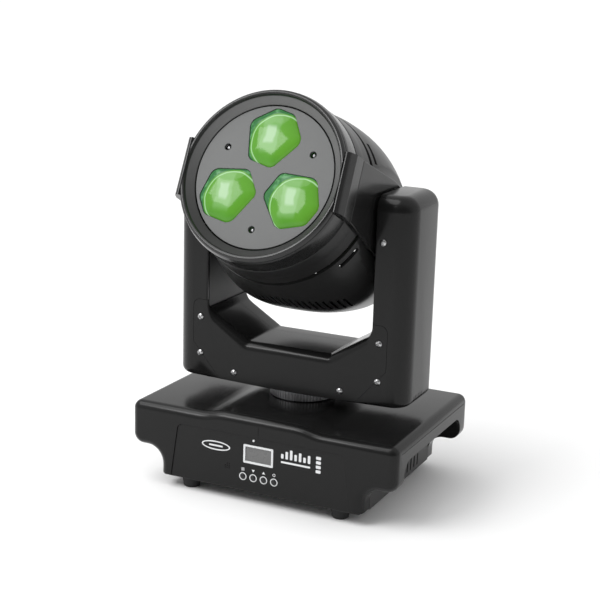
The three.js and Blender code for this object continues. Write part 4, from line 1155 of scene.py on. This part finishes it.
def studio_room():
    """An even pale room that is dimmer towards the camera and plain white where it is seen."""
    world = bpy.data.worlds.new("studio_world")
    bpy.context.scene.world = world
    world.use_nodes = True
    tree = world.node_tree
    background = tree.nodes["Background"]
    direction = tree.nodes.new("ShaderNodeTexCoord")
    toward = tree.nodes.new("ShaderNodeVectorMath")
    toward.operation = "DOT_PRODUCT"
    toward.inputs[1].default_value = DIM_TOWARD
    shade = tree.nodes.new("ShaderNodeMapRange")
    shade.interpolation_type = "SMOOTHSTEP"
    limits = {"From Min": 0.3, "From Max": 0.9, "To Min": ROOM_BRIGHT, "To Max": ROOM_DIM}
    for key, value in limits.items():
        shade.inputs[key].default_value = value
    seen = tree.nodes.new("ShaderNodeLightPath")
    choose = tree.nodes.new("ShaderNodeMix")
    choose.inputs["B"].default_value = 1.0
    tree.links.new(direction.outputs["Generated"], toward.inputs[0])
    tree.links.new(toward.outputs["Value"], shade.inputs["Value"])
    tree.links.new(seen.outputs["Is Camera Ray"], choose.inputs["Factor"])
    tree.links.new(shade.outputs["Result"], choose.inputs["A"])
    tree.links.new(choose.outputs["Result"], background.inputs["Strength"])
    background.inputs["Color"].default_value = (1, 1, 1, 1)


def lamp_from(name, kind, direction, energy):
    """A light that shines from a direction, with its settings to be filled in."""
    data = bpy.data.lights.new(name, kind)
    data.energy = energy
    lamp = bpy.data.objects.new(name, data)
    bpy.context.scene.collection.objects.link(lamp)
    lamp.rotation_euler = direction.to_track_quat("Z", "Y").to_euler()
    return lamp


def studio_lights():
    overhead = lamp_from("overhead_light", "SUN", OVERHEAD_FROM, OVERHEAD)
    overhead.data.angle = math.radians(OVERHEAD_SPREAD)
    front = lamp_from("front_light", "AREA", FRONT_LIGHT_FROM, FRONT_LIGHT)
    front.data.shape = "RECTANGLE"
    front.data.size, front.data.size_y = FRONT_LIGHT_SIZE
    front.location = Vector((0, 0, HEAD_HEIGHT)) + FRONT_LIGHT_FROM * FRONT_LIGHT_AWAY


CAMERA_AZIMUTH = math.radians(25.44)
CAMERA_ELEVATION = math.radians(14.13)
CAMERA_ROLL = math.radians(1.66)
CAMERA_DISTANCE = 1.34038
CAMERA_TARGET = Vector((-0.00638, 0, 0.17998))
CAMERA_LENS = 81.98


def camera():
    flat = math.cos(CAMERA_ELEVATION)
    back = Vector((
        math.sin(CAMERA_AZIMUTH) * flat, -math.cos(CAMERA_AZIMUTH) * flat, math.sin(CAMERA_ELEVATION),
    ))
    right = (-back).cross(Vector((0, 0, 1))).normalized()
    up = right.cross(-back)
    leaned = right * math.cos(CAMERA_ROLL) + up * math.sin(CAMERA_ROLL)
    raised = up * math.cos(CAMERA_ROLL) - right * math.sin(CAMERA_ROLL)
    turn = Matrix((leaned, raised, back)).transposed().to_4x4()
    data = bpy.data.cameras.new("view_camera")
    data.lens = CAMERA_LENS
    data.sensor_width = 36
    shot = bpy.data.objects.new("view_camera", data)
    bpy.context.scene.collection.objects.link(shot)
    shot.matrix_world = Matrix.Translation(CAMERA_TARGET + back * CAMERA_DISTANCE) @ turn
    bpy.context.scene.camera = shot


dress_frame()
base_cover()
base_tray()
control_panel()
panel_marks()
push_buttons()
rubber_feet()
yoke_covers()
yoke_screws()
bezel_ring()
front_shell()
rear_shell()
side_brackets()
lens_disc()
lenses()
studio_floor()
studio_room()
studio_lights()
camera()
bpy.context.scene.view_settings.view_transform = "Standard"
